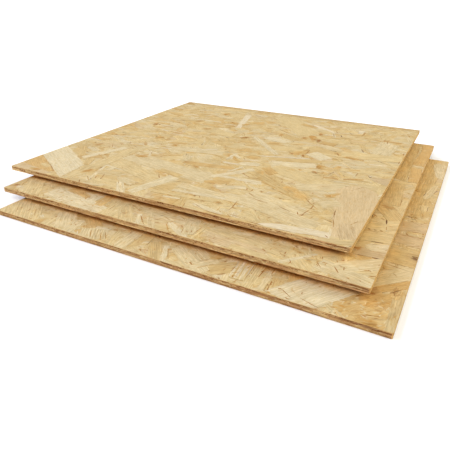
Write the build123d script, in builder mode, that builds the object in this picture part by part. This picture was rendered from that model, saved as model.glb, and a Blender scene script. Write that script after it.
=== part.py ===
from build123d import *
import math
import os

# A small fanned stack of three square oriented strand board panels.
# Each panel is one pressed and sawn board with square edges. The panels are all the same size,
# and each lower one sits further to the right and further forward than the one above it.
# Between two panels there is an air gap as tall as one board: it is held open by four square
# offcuts of the same board, well inside the stack, one set straight above the other.
#
# Frame: millimetres, +Z up, X along the panels' front edges, Y from the front to the back.
# The origin is at the centre of the whole stack's bounding box, at the level of the floor.

# ---- driving dimensions -------------------------------------------------------------------
PANEL_SIDE = 600.0  # both sides of a panel
THICK = 8.0  # board thickness
GAP = THICK  # air gap between two panels: one thickness of the same board
ARRIS = 0.35  # the saw leaves the long edges very slightly broken
CORNER_R = 1.6  # handling wears the four upright corners

# place of each panel's centre, relative to the top panel's, and its turn about Z in degrees
TOP_AT = (0.0, 0.0, 0.0)
MIDDLE_AT = (37.1, -50.0, -0.12)
BOTTOM_AT = (72.1, -94.1, -0.18)

# spacers: square offcuts, in the area that all three panels share
SPACER_SIDE = 50.0
SPACER_XS = (-140.0, 212.0)  # relative to the top panel's centre
SPACER_YS = (-212.0, 118.0)
SPACER_TURNS = ((1.4, -2.1, 0.8, 2.6), (-1.1, 1.9, 3.0, -0.7))  # upper set, lower set
SPACER_CORNER_R = 1.0

# ---- where the stack's own box lies ------------------------------------------------------


def half_reach(turn):
    """How far a turned square panel with rounded corners reaches from its centre, along X or Y."""
    a = abs(math.radians(turn))
    inner = PANEL_SIDE / 2 - CORNER_R
    return inner * (math.cos(a) + math.sin(a)) + CORNER_R


places = (TOP_AT, MIDDLE_AT, BOTTOM_AT)
low_x = min(x - half_reach(t) for x, y, t in places)
high_x = max(x + half_reach(t) for x, y, t in places)
low_y = min(y - half_reach(t) for x, y, t in places)
high_y = max(y + half_reach(t) for x, y, t in places)
SHIFT_X = -(low_x + high_x) / 2
SHIFT_Y = -(low_y + high_y) / 2

Z_BOTTOM = 0.0
Z_SPACER_LOW = Z_BOTTOM + THICK
Z_MIDDLE = Z_SPACER_LOW + GAP
Z_SPACER_HIGH = Z_MIDDLE + THICK
Z_TOP = Z_SPACER_HIGH + GAP

os.makedirs("parts", exist_ok=True)


def panel_plane(place, z):
    """The plane on which a panel's outline is drawn: its underside, at its place in the stack."""
    x, y, turn = place
    return Plane(
        origin=(x + SHIFT_X, y + SHIFT_Y, z),
        x_dir=(math.cos(math.radians(turn)), math.sin(math.radians(turn)), 0),
        z_dir=(0, 0, 1),
    )


def eased_arrises(part):
    """The edges round the two broad faces."""
    return part.faces().sort_by(Axis.Z)[0].edges() + part.faces().sort_by(Axis.Z)[-1].edges()


# ---- panel_bottom: the lowest board, which lies on the floor -------------------------------
with BuildPart() as panel_bottom:
    with BuildSketch(panel_plane(BOTTOM_AT, Z_BOTTOM)) as bottom_outline:
        RectangleRounded(PANEL_SIDE, PANEL_SIDE, CORNER_R)
    extrude(amount=THICK)
    chamfer(eased_arrises(panel_bottom), length=ARRIS)
panel_bottom.part.label = "panel_bottom"
export_step(panel_bottom.part, "parts/panel_bottom.step")

# ---- panel_middle -------------------------------------------------------------------------
with BuildPart() as panel_middle:
    with BuildSketch(panel_plane(MIDDLE_AT, Z_MIDDLE)) as middle_outline:
        RectangleRounded(PANEL_SIDE, PANEL_SIDE, CORNER_R)
    extrude(amount=THICK)
    chamfer(eased_arrises(panel_middle), length=ARRIS)
panel_middle.part.label = "panel_middle"
export_step(panel_middle.part, "parts/panel_middle.step")

# ---- panel_top ----------------------------------------------------------------------------
with BuildPart() as panel_top:
    with BuildSketch(panel_plane(TOP_AT, Z_TOP)) as top_outline:
        RectangleRounded(PANEL_SIDE, PANEL_SIDE, CORNER_R)
    extrude(amount=THICK)
    chamfer(eased_arrises(panel_top), length=ARRIS)
panel_top.part.label = "panel_top"
export_step(panel_top.part, "parts/panel_top.step")

# ---- spacers: four square offcuts in each gap, each a piece of its own ---------------------
SPACER_SPOTS = [(x, y) for y in SPACER_YS for x in SPACER_XS]
for level, z, turns in (
    ("upper", Z_SPACER_HIGH, SPACER_TURNS[0]),
    ("lower", Z_SPACER_LOW, SPACER_TURNS[1]),
):
    for number, ((x, y), turn) in enumerate(zip(SPACER_SPOTS, turns), start=1):
        with BuildPart() as spacer:
            with BuildSketch(panel_plane((x, y, turn), z)) as spacer_outline:
                RectangleRounded(SPACER_SIDE, SPACER_SIDE, SPACER_CORNER_R)
            extrude(amount=GAP)
        name = f"spacer_{level}_{number}"
        spacer.part.label = name
        export_step(spacer.part, f"parts/{name}.step")

# ---- what was made -----------------------------------------------------------------------
print("stack box x", low_x + SHIFT_X, high_x + SHIFT_X, "y", low_y + SHIFT_Y, high_y + SHIFT_Y)
print("top panel centre", SHIFT_X, SHIFT_Y, "top face z", Z_TOP + THICK)
for name, (x, y, turn) in (("bottom", BOTTOM_AT), ("middle", MIDDLE_AT), ("top", TOP_AT)):
    print(name, "panel centre", x + SHIFT_X, y + SHIFT_Y, "turn", turn)
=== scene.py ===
import math
import time

import bpy
import numpy as np
from mathutils import Matrix, Vector
from mathutils.geometry import delaunay_2d_cdt


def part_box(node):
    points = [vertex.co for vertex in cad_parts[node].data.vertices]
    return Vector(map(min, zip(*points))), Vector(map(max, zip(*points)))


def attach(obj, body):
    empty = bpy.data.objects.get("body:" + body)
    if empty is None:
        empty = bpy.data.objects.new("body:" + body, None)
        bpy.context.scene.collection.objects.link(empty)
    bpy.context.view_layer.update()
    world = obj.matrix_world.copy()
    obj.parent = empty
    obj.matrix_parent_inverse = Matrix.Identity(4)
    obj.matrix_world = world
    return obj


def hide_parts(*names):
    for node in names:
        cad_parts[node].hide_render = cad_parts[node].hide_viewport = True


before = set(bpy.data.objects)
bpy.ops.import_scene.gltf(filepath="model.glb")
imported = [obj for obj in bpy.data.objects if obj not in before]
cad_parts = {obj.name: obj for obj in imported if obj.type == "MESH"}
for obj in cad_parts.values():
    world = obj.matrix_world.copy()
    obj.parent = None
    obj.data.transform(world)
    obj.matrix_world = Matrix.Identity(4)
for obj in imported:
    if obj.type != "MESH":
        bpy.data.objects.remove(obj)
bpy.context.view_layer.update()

STARTED = time.perf_counter()

# ============================================================================================
# A fanned stack of three square strand boards with offcut spacers between them.
#
# Every board is one closed mesh. Each of its faces is a mosaic of wood strands: the strands are
# laid over each other one by one, as in the press, what stays visible of each becomes a flat or
# gently tilted cell at its own depth, and small upright walls join the cells. The sawn sides are
# made the same way, from the slivers that the saw cut through. Narrow strips join the faces
# along the arrises and round the corners.
#
# Lengths in the making of a board are in millimetres, in the board's own frame: its centre in
# plan, its underside at z = 0.
# ============================================================================================

THICK = 8.0
ARRIS = 0.35
DEPTH_STEP = 0.014  # a strand lies at least this far below one that overlaps it

# How the wood looks under the studio light, in sRGB
TONES = {
    "white": (230, 214, 181),
    "cream": (228, 211, 172),
    "pale": (223, 203, 159),
    "straw": (223, 199, 147),
    "dull": (216, 192, 142),
    "honey": (216, 187, 130),
    "amber": (214, 178, 115),
    "deep": (199, 153, 82),
    "pink": (217, 191, 147),
    "blush": (222, 196, 151),
    "rust": (197, 159, 101),
    "brown": (173, 122, 58),
    "dark": (112, 70, 36),
    # the sawn sides
    "cut_pale": (236, 200, 148),
    "cut_tan": (220, 176, 123),
    "cut_pink": (212, 163, 117),
    "cut_brown": (176, 125, 80),
    "cut_dark": (146, 90, 52),
    "long_pale": (240, 207, 147),
    "long_tan": (234, 194, 124),
    "long_pink": (226, 180, 115),
    "long_brown": (202, 152, 88),
    "long_dark": (160, 108, 56),
}
LIGHT = 1.42  # what a white upward face shows, in linear light

# Painted light and shade on the sawn sides, by height from the lower arris to the upper one: red, green and
# blue at five heights.
# The upper boards' sides are painted lighter low down, where the gap below shades them; the lowest board's
# sides are painted darker.
HEIGHTS = (0.1, 0.3, 0.5, 0.7, 0.9)
SIDE_PAINTED_LIGHT_AND_SHADE = {
    "cut": ((1.30, 1.06, 1.02, 0.95, 0.92), (1.42, 1.15, 1.10, 1.00, 0.96),
            (1.52, 1.18, 1.14, 0.99, 0.96)),
    "cut_lowest": ((0.68, 0.91, 0.94, 0.87, 0.67), (0.67, 0.93, 0.94, 0.85, 0.62),
                   (0.55, 0.91, 0.87, 0.76, 0.55)),
    "long": ((1.22, 1.13, 1.06, 0.98, 0.97), (1.24, 1.17, 1.10, 1.00, 0.98),
             (1.10, 1.08, 1.02, 0.95, 0.93)),
    "long_lowest": ((0.81, 0.80, 0.80, 0.82, 0.86), (0.87, 0.86, 0.85, 0.87, 0.90),
                    (0.96, 0.93, 0.91, 0.90, 0.92)),
}
# Painted light and shade where a board lies under the one above and in the margin beside it: red, green and
# blue factors by the distance inside the upper board's edge. They mostly lighten red and darken blue, which
# warms the shade there.
FRONT_PAINTED_SHADE_TINT = (-22, -12, -5, 0, 2.4, 6.3, 10, 16, 34), (
    (1.0, 1.03, 1.03, 1.10, 1.32, 1.41, 1.41, 1.36, 1.0),
    (1.0, 1.01, 1.0, 1.03, 1.27, 1.12, 0.87, 0.80, 1.0),
    (1.0, 1.0, 0.97, 1.06, 1.42, 0.93, 0.45, 0.42, 1.0))
RIGHT_PAINTED_SHADE_TINT = (-37, -26, -12, -5, -2, 0.5, 3, 8, 14), (
    (1.0, 1.05, 1.14, 1.16, 1.20, 1.31, 1.28, 1.20, 1.0),
    (0.94, 1.0, 1.08, 1.04, 1.06, 1.13, 1.10, 1.05, 1.0),
    (0.88, 0.95, 1.0, 0.91, 0.82, 0.80, 0.82, 0.81, 1.0))


def linear(rgb):
    c = np.asarray(rgb, float) / 255
    return np.where(c <= 0.04045, c / 12.92, ((c + 0.055) / 1.055) ** 2.4)


ALBEDO = {name: linear(rgb) / LIGHT for name, rgb in TONES.items()}


class Strand:
    """One strand: a long flat chip, seen from above. Its own frame has u along the grain, v across."""

    def __init__(self, rng, x, y, turn, length, width, tone, width1=None, skew0=0.0, skew1=0.0,
                 rag=1.5, taper0=0.0, taper1=0.0, bow=0.0, wave=0.35, depth=None, key=None,
                 figure=None, shade=0.0, fleck=0.0, tilt=None, wild=False,
                 soft=1.0, vary=1.0):
        self.x, self.y, self.turn, self.length = x, y, turn, length
        self.w0, self.w1 = width, width if width1 is None else width1
        self.skew0, self.skew1, self.rag = skew0, skew1, rag
        self.taper0, self.taper1, self.bow = taper0, taper1, bow
        if not wild:
            wave = min(wave, 0.12 * min(self.w0, self.w1) + 0.05)
        self.wave = [
            (wave * rng.uniform(0.5, 1.0), 2 * math.pi / rng.uniform(22, 60), rng.uniform(0, 6.3)),
            (wave * rng.uniform(0.1, 0.4), 2 * math.pi / rng.uniform(5, 14), rng.uniform(0, 6.3)),
            (wave * rng.uniform(0.5, 1.0), 2 * math.pi / rng.uniform(22, 60), rng.uniform(0, 6.3)),
            (wave * rng.uniform(0.1, 0.4), 2 * math.pi / rng.uniform(5, 14), rng.uniform(0, 6.3)),
        ]
        self.steps = rng.uniform(1.2, 3.6)
        self.ends = rng.random((2, 64)) ** 1.6
        self.depth, self.key, self.soft = depth, key, soft
        base = ALBEDO[tone] if isinstance(tone, str) else np.asarray(tone)
        # no two strands have quite the same colour: lighter or darker, redder or greener
        value = 1 + rng.normal(0, 0.026) * vary + shade
        warm = rng.normal(0, 0.013) * vary
        self.colour = base * value * np.array([1 + warm * 0.6, 1.0, 1 - warm * 1.6])
        self.figure = rng.random() ** 1.5 if figure is None else figure
        self.period = rng.uniform(1.6, 5.2)
        self.fleck = fleck
        self.seed = rng.uniform(0, 97)
        self.tilt = (rng.normal(0, 0.06), rng.normal(0, 0.05)) if tilt is None else tilt
        self.ripple = (rng.uniform(0, 0.035), rng.uniform(0, 6.3), 2 * math.pi / rng.uniform(25, 70))

    def local(self, x, y):
        c, s = math.cos(self.turn), math.sin(self.turn)
        return (x - self.x) * c + (y - self.y) * s, -(x - self.x) * s + (y - self.y) * c

    def covers(self, x, y):
        """Where this strand lies, for points x (a row) and y (a column)."""
        u, v = self.local(x, y)
        q = np.clip(u / self.length + 0.5, 0, 1)
        half = 0.5 * (self.w0 + (self.w1 - self.w0) * q)
        if self.taper0:
            half = half * np.sqrt(np.clip((u + self.length / 2) / self.taper0, 0, 1))
        if self.taper1:
            half = half * np.sqrt(np.clip((self.length / 2 - u) / self.taper1, 0, 1))
        if self.bow:
            v = v - self.bow * (1 - (2 * q - 1) ** 2)
        (a, k, p), (b, m, r), (c, n, t), (d, o, w) = self.wave
        high = half + a * np.sin(k * u + p) + b * np.sin(m * u + r)
        low = -half + c * np.sin(n * u + t) + d * np.sin(o * u + w)
        inside = (v < high) & (v > low)
        i = (np.floor((v + 40) / self.steps).astype(np.int32)) & 63
        inside &= u > -self.length / 2 + self.skew0 * v + self.rag * self.ends[0][i]
        inside &= u < self.length / 2 + self.skew1 * v - self.rag * self.ends[1][i]
        return inside

    def reach(self):
        hl = self.length / 2 + max(abs(self.skew0), abs(self.skew1)) * max(self.w0, self.w1) / 2 + 1
        hw = max(self.w0, self.w1) / 2 + 1.5 + abs(self.bow)
        c, s = abs(math.cos(self.turn)), abs(math.sin(self.turn))
        return c * hl + s * hw, s * hl + c * hw


def laid(rng, x0, y0, x1, y1, width, tone, **kw):
    """A strand given by the two ends of its middle line. It keeps its colour nearly to its edge."""
    kw.setdefault("soft", 0.45)
    kw.setdefault("vary", 0.35)
    return Strand(rng, (x0 + x1) / 2, (y0 + y1) / 2, math.atan2(y1 - y0, x1 - x0),
                  math.hypot(x1 - x0, y1 - y0), width, tone, **kw)


def gap(rng, x0, y0, x1, y1, width, depth=0.4, tone="brown", bow=0.0, key=-1.0):
    """A crack or an open joint between strands: a sharp-ended sliver of shadow."""
    length = math.hypot(x1 - x0, y1 - y0)
    return laid(rng, x0, y0, x1, y1, 0.45 + 0.5 * width, tone, rag=0.0, taper0=length * 0.45,
                taper1=length * 0.45, wave=0.25, bow=bow, depth=depth, key=key, figure=0.2,
                tilt=(0, 0))


def spot(rng, x, y, length, width, degrees, tone):
    """A bark fleck, a bit of knot or a resin stain: a few ragged bits in one place."""
    found = []
    if tone in ("brown", "deep", "rust", "amber"):  # a golden stain round it
        found.append(Strand(
            rng, x, y, math.radians(degrees) + rng.normal(0, 0.2), length * 1.9, width * 1.5,
            "honey", width1=width * 0.8, rag=5.0, skew0=rng.normal(0, 0.5), taper0=length * 0.4,
            taper1=length * 0.7, wave=width * 0.1, wild=True, figure=0.3, fleck=0.8, soft=1.6))
    for part in range(3):
        big = (1.0, 0.7, 0.45)[part]
        a = math.radians(degrees) + rng.normal(0, 0.3)
        found.append(Strand(
            rng, x + rng.normal(0, 0.16) * length, y + rng.normal(0, 0.3) * width, a,
            length * big, width * big * rng.uniform(0.6, 1.0), tone, width1=width * big *
            rng.uniform(0.3, 1.0), rag=2.5, skew0=rng.normal(0, 0.6), skew1=rng.normal(0, 0.6),
            wave=width * 0.12, wild=True, figure=0.3, fleck=1.0, shade=rng.normal(0, 0.07)))
    return found


# ---- from strands to a mosaic ---------------------------------------------------------------


def paint(strands, low, count, pitch):
    """The number of the strand that is uppermost at each cell of a grid."""
    nx, ny = count
    label = np.zeros((ny, nx), np.int32)
    for k, s in enumerate(strands):
        ex, ey = s.reach()
        i0, i1 = int((s.x - ex - low[0]) / pitch), int((s.x + ex - low[0]) / pitch) + 2
        j0, j1 = int((s.y - ey - low[1]) / pitch), int((s.y + ey - low[1]) / pitch) + 2
        i0, j0, i1, j1 = max(i0, 0), max(j0, 0), min(i1, nx), min(j1, ny)
        if i1 <= i0 or j1 <= j0:
            continue
        x = (low[0] + (np.arange(i0, i1, dtype=np.float32) + 0.5) * pitch)[None, :]
        y = (low[1] + (np.arange(j0, j1, dtype=np.float32) + 0.5) * pitch)[:, None]
        label[j0:j1, i0:i1][s.covers(x, y)] = k
    return label


def patches(label):
    """Numbers the connected patches of equal labels."""
    ny, nx = label.shape
    change = np.ones((ny, nx), bool)
    change[:, 1:] = label[:, 1:] != label[:, :-1]
    run = np.cumsum(change.ravel()).reshape(ny, nx) - 1
    n = int(run[-1, -1]) + 1
    parent = np.arange(n)
    same = label[1:] == label[:-1]
    pair = np.unique(run[:-1][same].astype(np.int64) * n + run[1:][same])
    a, b = pair // n, pair % n
    while True:
        pa, pb = parent[a], parent[b]
        apart = pa != pb
        if not apart.any():
            break
        a, b, pa, pb = a[apart], b[apart], pa[apart], pb[apart]
        np.minimum.at(parent, np.maximum(pa, pb), np.minimum(pa, pb))
        while True:
            above = parent[parent]
            if (above == parent).all():
                break
            parent = above
    _, patch = np.unique(parent, return_inverse=True)
    return patch[run]


def tidied(label, least):
    """Specks go to the strand beside them, and no four patches meet at one point."""
    for _ in range(2):
        patch = patches(label)
        small = np.bincount(patch.ravel())[patch] < least
        if not small.any():
            break
        column = np.where(small, -1, np.arange(label.shape[1])[None, :])
        left = np.maximum.accumulate(column, axis=1)
        back = np.where(small, label.shape[1], np.arange(label.shape[1])[None, :])
        right = np.minimum.accumulate(back[:, ::-1], axis=1)[:, ::-1]
        take = np.where(left >= 0, left, np.minimum(right, label.shape[1] - 1))
        label = np.take_along_axis(label, take, axis=1)
    for _ in range(4):
        a, b, c, d = label[:-1, :-1], label[:-1, 1:], label[1:, :-1], label[1:, 1:]
        cross = (a != b) & (c != d) & (a != c) & (b != d)
        if not cross.any():
            break
        j, i = np.nonzero(cross)
        label[j + 1, i + 1] = label[j + 1, i]
    return label


def outlines(padded):
    """The lines between patches, as chains of lattice points from one junction to the next."""
    ny, nx = padded.shape[0] - 2, padded.shape[1] - 2
    bits = np.zeros((ny + 1, nx + 1), np.uint8)
    right = padded[:-1, 1:-1] != padded[1:, 1:-1]
    up = padded[1:-1, :-1] != padded[1:-1, 1:]
    bits[:, :-1] |= right.astype(np.uint8) * 1
    bits[:-1, :] |= up.astype(np.uint8) * 2
    bits[:, 1:] |= right.astype(np.uint8) * 4
    bits[1:, :] |= up.astype(np.uint8) * 8
    pop = np.array([bin(v).count("1") for v in range(16)], np.uint8)
    count = pop[bits]
    node = (count > 2) | (count == 1)
    for j, i in ((0, 0), (0, nx), (ny, 0), (ny, nx)):
        node[j, i] |= bits[j, i] > 0
    wide = nx + 1
    b = bytearray(bits.tobytes())
    is_node = bytearray(node.astype(np.uint8).tobytes())
    step = {1: 1, 2: wide, 4: -1, 8: -wide}
    back = {1: 4, 2: 8, 4: 1, 8: 2}
    first = {v: (v & -v) for v in range(1, 16)}
    chains = []

    def follow(start):
        d, path, at = first[b[start]], [start], start
        while True:
            b[at] &= ~d & 15
            at += step[d]
            b[at] &= ~back[d] & 15
            path.append(at)
            d = b[at]
            if is_node[at] or at == start or d == 0:
                return path

    for start in np.flatnonzero(node).tolist():
        while b[start]:
            chains.append(follow(start))
    for start in np.flatnonzero(bits).tolist():
        while b[start]:
            chains.append(follow(start))
    return chains, wide


def thinned(points, tol):
    """The few points of a line that keep it within tol of all of them."""
    n = len(points)
    keep = np.zeros(n, bool)
    keep[0] = keep[-1] = True
    todo = [(0, n - 1)]
    while todo:
        a, b = todo.pop()
        if b - a < 2:
            continue
        pa, pb = points[a], points[b]
        dx, dy = pb[0] - pa[0], pb[1] - pa[1]
        size = math.hypot(dx, dy)
        rest = points[a + 1:b]
        if size < 1e-9:
            off = np.hypot(rest[:, 0] - pa[0], rest[:, 1] - pa[1])
        else:
            off = np.abs((rest[:, 0] - pa[0]) * dy - (rest[:, 1] - pa[1]) * dx) / size
        k = int(off.argmax())
        if off[k] > tol:
            k += a + 1
            keep[k] = True
            todo += [(a, k), (k, b)]
    return np.flatnonzero(keep)


def lines_of(padded, tol):
    """Simplified lines between patches: points on the lattice, and the pairs they join."""
    chains, wide = outlines(padded)
    points, number, edges = [], {}, []

    def fixed(at):
        if at not in number:
            number[at] = len(points)
            points.append((at % wide, at // wide))
        return number[at]

    for path in chains:
        p = np.array(path)
        xy = np.stack([p % wide, p // wide], 1).astype(float)
        if path[0] == path[-1]:  # an island, or a loop back to its junction
            far = int(np.abs(xy - xy[0]).sum(1).argmax())
            parts = [p[: far + 1], p[far:]]
        else:
            parts = [p]
        for part in parts:
            xy = np.stack([part % wide, part // wide], 1).astype(float)
            mid = (xy[1:] + xy[:-1]) / 2
            line = np.concatenate([xy[:1], mid, xy[-1:]]) if len(mid) > 1 else xy
            kept = thinned(line, tol)
            ids = [fixed(int(part[0]))]
            for k in kept[1:-1]:
                ids.append(len(points))
                points.append((float(line[k, 0]), float(line[k, 1])))
            ids.append(fixed(int(part[-1])))
            edges += [(a, b) for a, b in zip(ids, ids[1:]) if a != b]
    return points, edges


def joined(n, a, b):
    """Numbers the groups of n things when each a is joined with its b."""
    parent = np.arange(n)
    while True:
        pa, pb = parent[a], parent[b]
        apart = pa != pb
        if not apart.any():
            break
        a, b, pa, pb = a[apart], b[apart], pa[apart], pb[apart]
        np.minimum.at(parent, np.maximum(pa, pb), np.minimum(pa, pb))
        while True:
            above = parent[parent]
            if (above == parent).all():
                break
            parent = above
    return np.unique(parent, return_inverse=True)[1]


def zipper(p, q, sp, sq):
    """Triangles between two lines of vertices, p on the left, by their places sp and sq."""
    faces, i, j = [], 0, 0
    while i < len(p) - 1 or j < len(q) - 1:
        if j == len(q) - 1 or (i < len(p) - 1 and sp[i + 1] <= sq[j + 1]):
            faces.append((p[i], q[j], p[i + 1]))
            i += 1
        else:
            faces.append((q[j], q[j + 1], p[i]))
            j += 1
    return faces


class Mosaic:
    """A face of strands. Its own frame has x and y in the face, and depth below it.
    places: x, y, depth of each vertex. faces: triangles. owner: the strand of each triangle."""

    def __init__(self, strands, low, high, pitch, tol, least, rng, depths, grid=None, cut=0.0,
                 rim=0.0, blend=1.0):
        nx, ny = round((high[0] - low[0]) / pitch), round((high[1] - low[1]) / pitch)
        px, py = (high[0] - low[0]) / nx, (high[1] - low[1]) / ny
        self.strands = strands
        label = tidied(paint(strands, low, (nx, ny), px), least)
        patch = patches(label).astype(np.int32)
        padded = np.full((ny + 2, nx + 2), -1, np.int32)
        padded[1:-1, 1:-1] = patch
        if cut:  # rounded corners
            x = (np.arange(nx) + 0.5) * px
            y = (np.arange(ny) + 0.5) * py
            dx = np.maximum(cut - np.minimum(x, x[-1] + x[0] - x), 0)[None, :]
            dy = np.maximum(cut - np.minimum(y, y[-1] + y[0] - y), 0)[:, None]
            padded[1:-1, 1:-1][(dx * dx + dy * dy) > cut * cut] = -1
        strand_of = np.zeros(int(patch.max()) + 1, np.int32)
        strand_of[patch.ravel()] = label.ravel()

        points, edges = lines_of(padded, tol)
        if grid:
            gx = np.arange(low[0] + grid / 2, high[0], grid)
            gy = np.arange(low[1] + grid / 2, high[1], grid)
            gx, gy = np.meshgrid(gx, gy)
            gx = gx + rng.uniform(-0.4, 0.4, gx.shape) * grid
            gy = gy + rng.uniform(-0.4, 0.4, gy.shape) * grid
            gi, gj = ((gx - low[0]) / px).ravel(), ((gy - low[1]) / py).ravel()
            ii, jj = gi.astype(int) + 1, gj.astype(int) + 1
            ok = (ii > 2) & (jj > 2) & (ii < nx - 1) & (jj < ny - 1)
            ii, jj, gi, gj = ii[ok], jj[ok], gi[ok], gj[ok]
            here, clear = padded[jj, ii], np.ones(len(ii), bool)
            for dj in (-2, 0, 2):
                for di in (-2, 0, 2):
                    clear &= padded[jj + dj, ii + di] == here
            points += list(zip(gi[clear].tolist(), gj[clear].tolist()))
        found = delaunay_2d_cdt([Vector(p) for p in points], edges, [], 0, 1e-5, True)
        at = np.array([(v.x, v.y) for v in found[0]])
        tri = np.array(found[2], np.int64)
        kept = np.array([len(o) > 0 for o in found[4]], bool)
        lines = np.sort(np.array(found[1], np.int64), axis=1)[kept]
        n = len(at)
        turn = np.cross(at[tri[:, 1]] - at[tri[:, 0]], at[tri[:, 2]] - at[tri[:, 0]])
        tri[turn < 0] = tri[turn < 0][:, ::-1]
        area = np.abs(turn)

        # which triangles make up each cell, and whose it is
        a, b = tri.ravel(), np.roll(tri, -1, axis=1).ravel()
        key = np.minimum(a, b) * n + np.maximum(a, b)
        face = np.repeat(np.arange(len(tri)), 3)
        order = np.argsort(key, kind="stable")
        k, f = key[order], face[order]
        twin = np.flatnonzero(k[1:] == k[:-1])
        line_key = np.unique(lines[:, 0] * n + lines[:, 1])
        on_line = np.isin(k[twin], line_key, assume_unique=False)
        group = joined(len(tri), f[twin[~on_line]], f[twin[~on_line] + 1])
        middle = at[tri].mean(1)
        mi = np.clip(middle[:, 0].astype(int), 0, nx - 1) + 1
        mj = np.clip(middle[:, 1].astype(int), 0, ny - 1) + 1
        vote = padded[mj, mi].astype(np.int64) + 1
        size = int(vote.max()) + 1
        ballot, which = np.unique(group * size + vote, return_inverse=True)
        weight = np.bincount(which, area)
        order = np.lexsort((weight, ballot // size))
        winner = np.zeros(int(group.max()) + 1, np.int64)
        winner[(ballot // size)[order]] = (ballot % size)[order]
        cell = winner[group] - 1
        inside = cell >= 0
        tri, cell = tri[inside], cell[inside]

        # each cell has its own vertices, at its own depth
        pair = tri * (size + 1) + cell[:, None]
        used, number = np.unique(pair.ravel(), return_inverse=True)
        tri_new = number.reshape(-1, 3)
        where, whose = used // (size + 1), used % (size + 1)
        x, y = low[0] + at[where, 0] * px, low[1] + at[where, 1] * py
        strand = strand_of[whose]
        depth = depths(self.strands, strand, x, y)
        if rim:
            edge = np.minimum.reduce([x - low[0], high[0] - x, y - low[1], high[1] - y])
            depth = np.where(edge < 0.02, np.minimum(depth, rim), depth)
        rank = np.array([s.key for s in strands])[strand] + whose * 1e-9
        order = np.lexsort((-rank, where))
        w = where[order]
        start = np.r_[True, w[1:] != w[:-1]]
        place = np.arange(len(w)) - np.maximum.accumulate(np.where(start, np.arange(len(w)), 0))
        d = depth[order]
        same = np.r_[False, strand[order][1:] == strand[order][:-1]]
        for step in range(1, int(place.max()) + 1):
            i = np.flatnonzero(place == step)
            d[i] = np.where(same[i], d[i - 1], np.maximum(d[i], d[i - 1] + DEPTH_STEP))
        depth[order] = d
        # the column of vertices at each point, from the highest strand down
        first = np.flatnonzero(start)
        column_of = np.zeros(n, np.int64)
        column_of[w[first]] = first
        column_end = np.r_[first[1:], len(w)]
        end_of = np.zeros(n, np.int64)
        end_of[w[first]] = column_end
        position = np.empty(len(w), np.int64)
        position[order] = np.arange(len(w))

        # walls between neighbouring cells
        a, b = tri.ravel(), np.roll(tri, -1, axis=1).ravel()
        va, vb = tri_new.ravel(), np.roll(tri_new, -1, axis=1).ravel()
        who = np.repeat(cell, 3)
        key = np.minimum(a, b) * n + np.maximum(a, b)
        order2 = np.argsort(key, kind="stable")
        k = key[order2]
        twin = np.flatnonzero(k[1:] == k[:-1])
        e, g = order2[twin], order2[twin + 1]
        apart = who[e] != who[g]
        e, g = e[apart], g[apart]
        walls, wall_owner = [], []
        order_list, pos = order.tolist(), position.tolist()
        strand_list = strand.tolist()
        for h1, h2 in zip(e.tolist(), g.tolist()):
            # half edge h runs from va to vb with its own cell on the left
            p1, q1, q2, p2 = int(va[h1]), int(vb[h1]), int(va[h2]), int(vb[h2])
            if pos[p1] > pos[p2]:  # the second cell is the higher one
                p1, q1, q2, p2 = q2, p2, p1, q1
            left = order_list[pos[p1]:pos[p2] + 1]
            right = order_list[pos[q1]:pos[q2] + 1]
            if pos[q1] > pos[q2]:
                right = [q1, q2]
            if len(left) == 2 and len(right) == 2:
                made = [(p1, p2, q2), (p1, q2, q1)]
            else:
                # down the left column and down the right one
                made = [(r, s, t) for r, s, t in zipper_down(left, right)]
            walls += made
            wall_owner += [strand_list[p1]] * len(made)
        if walls:
            self.faces = np.concatenate([tri_new, np.array(walls, np.int64)])
            self.owner = np.concatenate([strand_of[cell], np.array(wall_owner, np.int64)])
        else:
            self.faces, self.owner = tri_new, strand_of[cell]
        self.tops = len(tri_new)
        self.places = np.stack([x, y, depth], 1)
        # thin strand edges let a little of their neighbours' colour through
        own = np.array([s.colour for s in strands])
        open_joint = np.array([s.key < 0 for s in strands])[strand]
        solid = (~open_joint).astype(float)
        total = np.bincount(where, solid, minlength=n)
        mixed = np.stack([np.bincount(where, own[strand][:, c] * solid, minlength=n)
                          for c in range(3)], 1) / np.maximum(total, 1)[:, None]
        share = np.clip(0.45 + 0.5 * np.sin(x * 0.061 + 2 * np.sin(y * 0.047)) *
                        np.sin(y * 0.053 + 1.7 * np.sin(x * 0.039)), 0.1, 0.9)
        soft = np.array([s.soft for s in strands])[strand]
        share = np.where(open_joint, 0.0, np.minimum(share * soft, 0.95))[:, None] * blend
        self.tint = own[strand] * (1 - share) + mixed[where] * share
        self.low, self.high = low, high

    def rim_loop(self):
        """The closed outer line, counterclockwise."""
        f = self.faces
        a, b = f.ravel(), np.roll(f, -1, axis=1).ravel()
        n = len(self.places)
        ahead, behind = a * n + b, b * n + a
        alone = ~np.isin(ahead, behind)
        follow = {}
        for p, q in zip(a[alone].tolist(), b[alone].tolist()):
            follow.setdefault(p, []).append(q)
        loops = []
        while follow:
            start = next(iter(follow))
            path, at = [start], start
            while True:
                nexts = follow.get(at)
                if not nexts:
                    break
                q = nexts.pop()
                if not nexts:
                    del follow[at]
                at = q
                if at == start:
                    break
                path.append(at)
            loops.append(path)
        loops.sort(key=len)
        return loops[-1], len(loops)


def zipper_down(left, right):
    """Triangles of a wall between two columns, both listed from the top down."""
    faces, i, j = [], 0, 0
    while i < len(left) - 1 or j < len(right) - 1:
        if j == len(right) - 1 or (i < len(left) - 1 and i / len(left) <= j / len(right)):
            faces.append((left[i], left[i + 1], right[j]))
            i += 1
        else:
            faces.append((left[i], right[j + 1], right[j]))
            j += 1
    return faces


# ---- what lies on a face ----------------------------------------------------------------------


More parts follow.
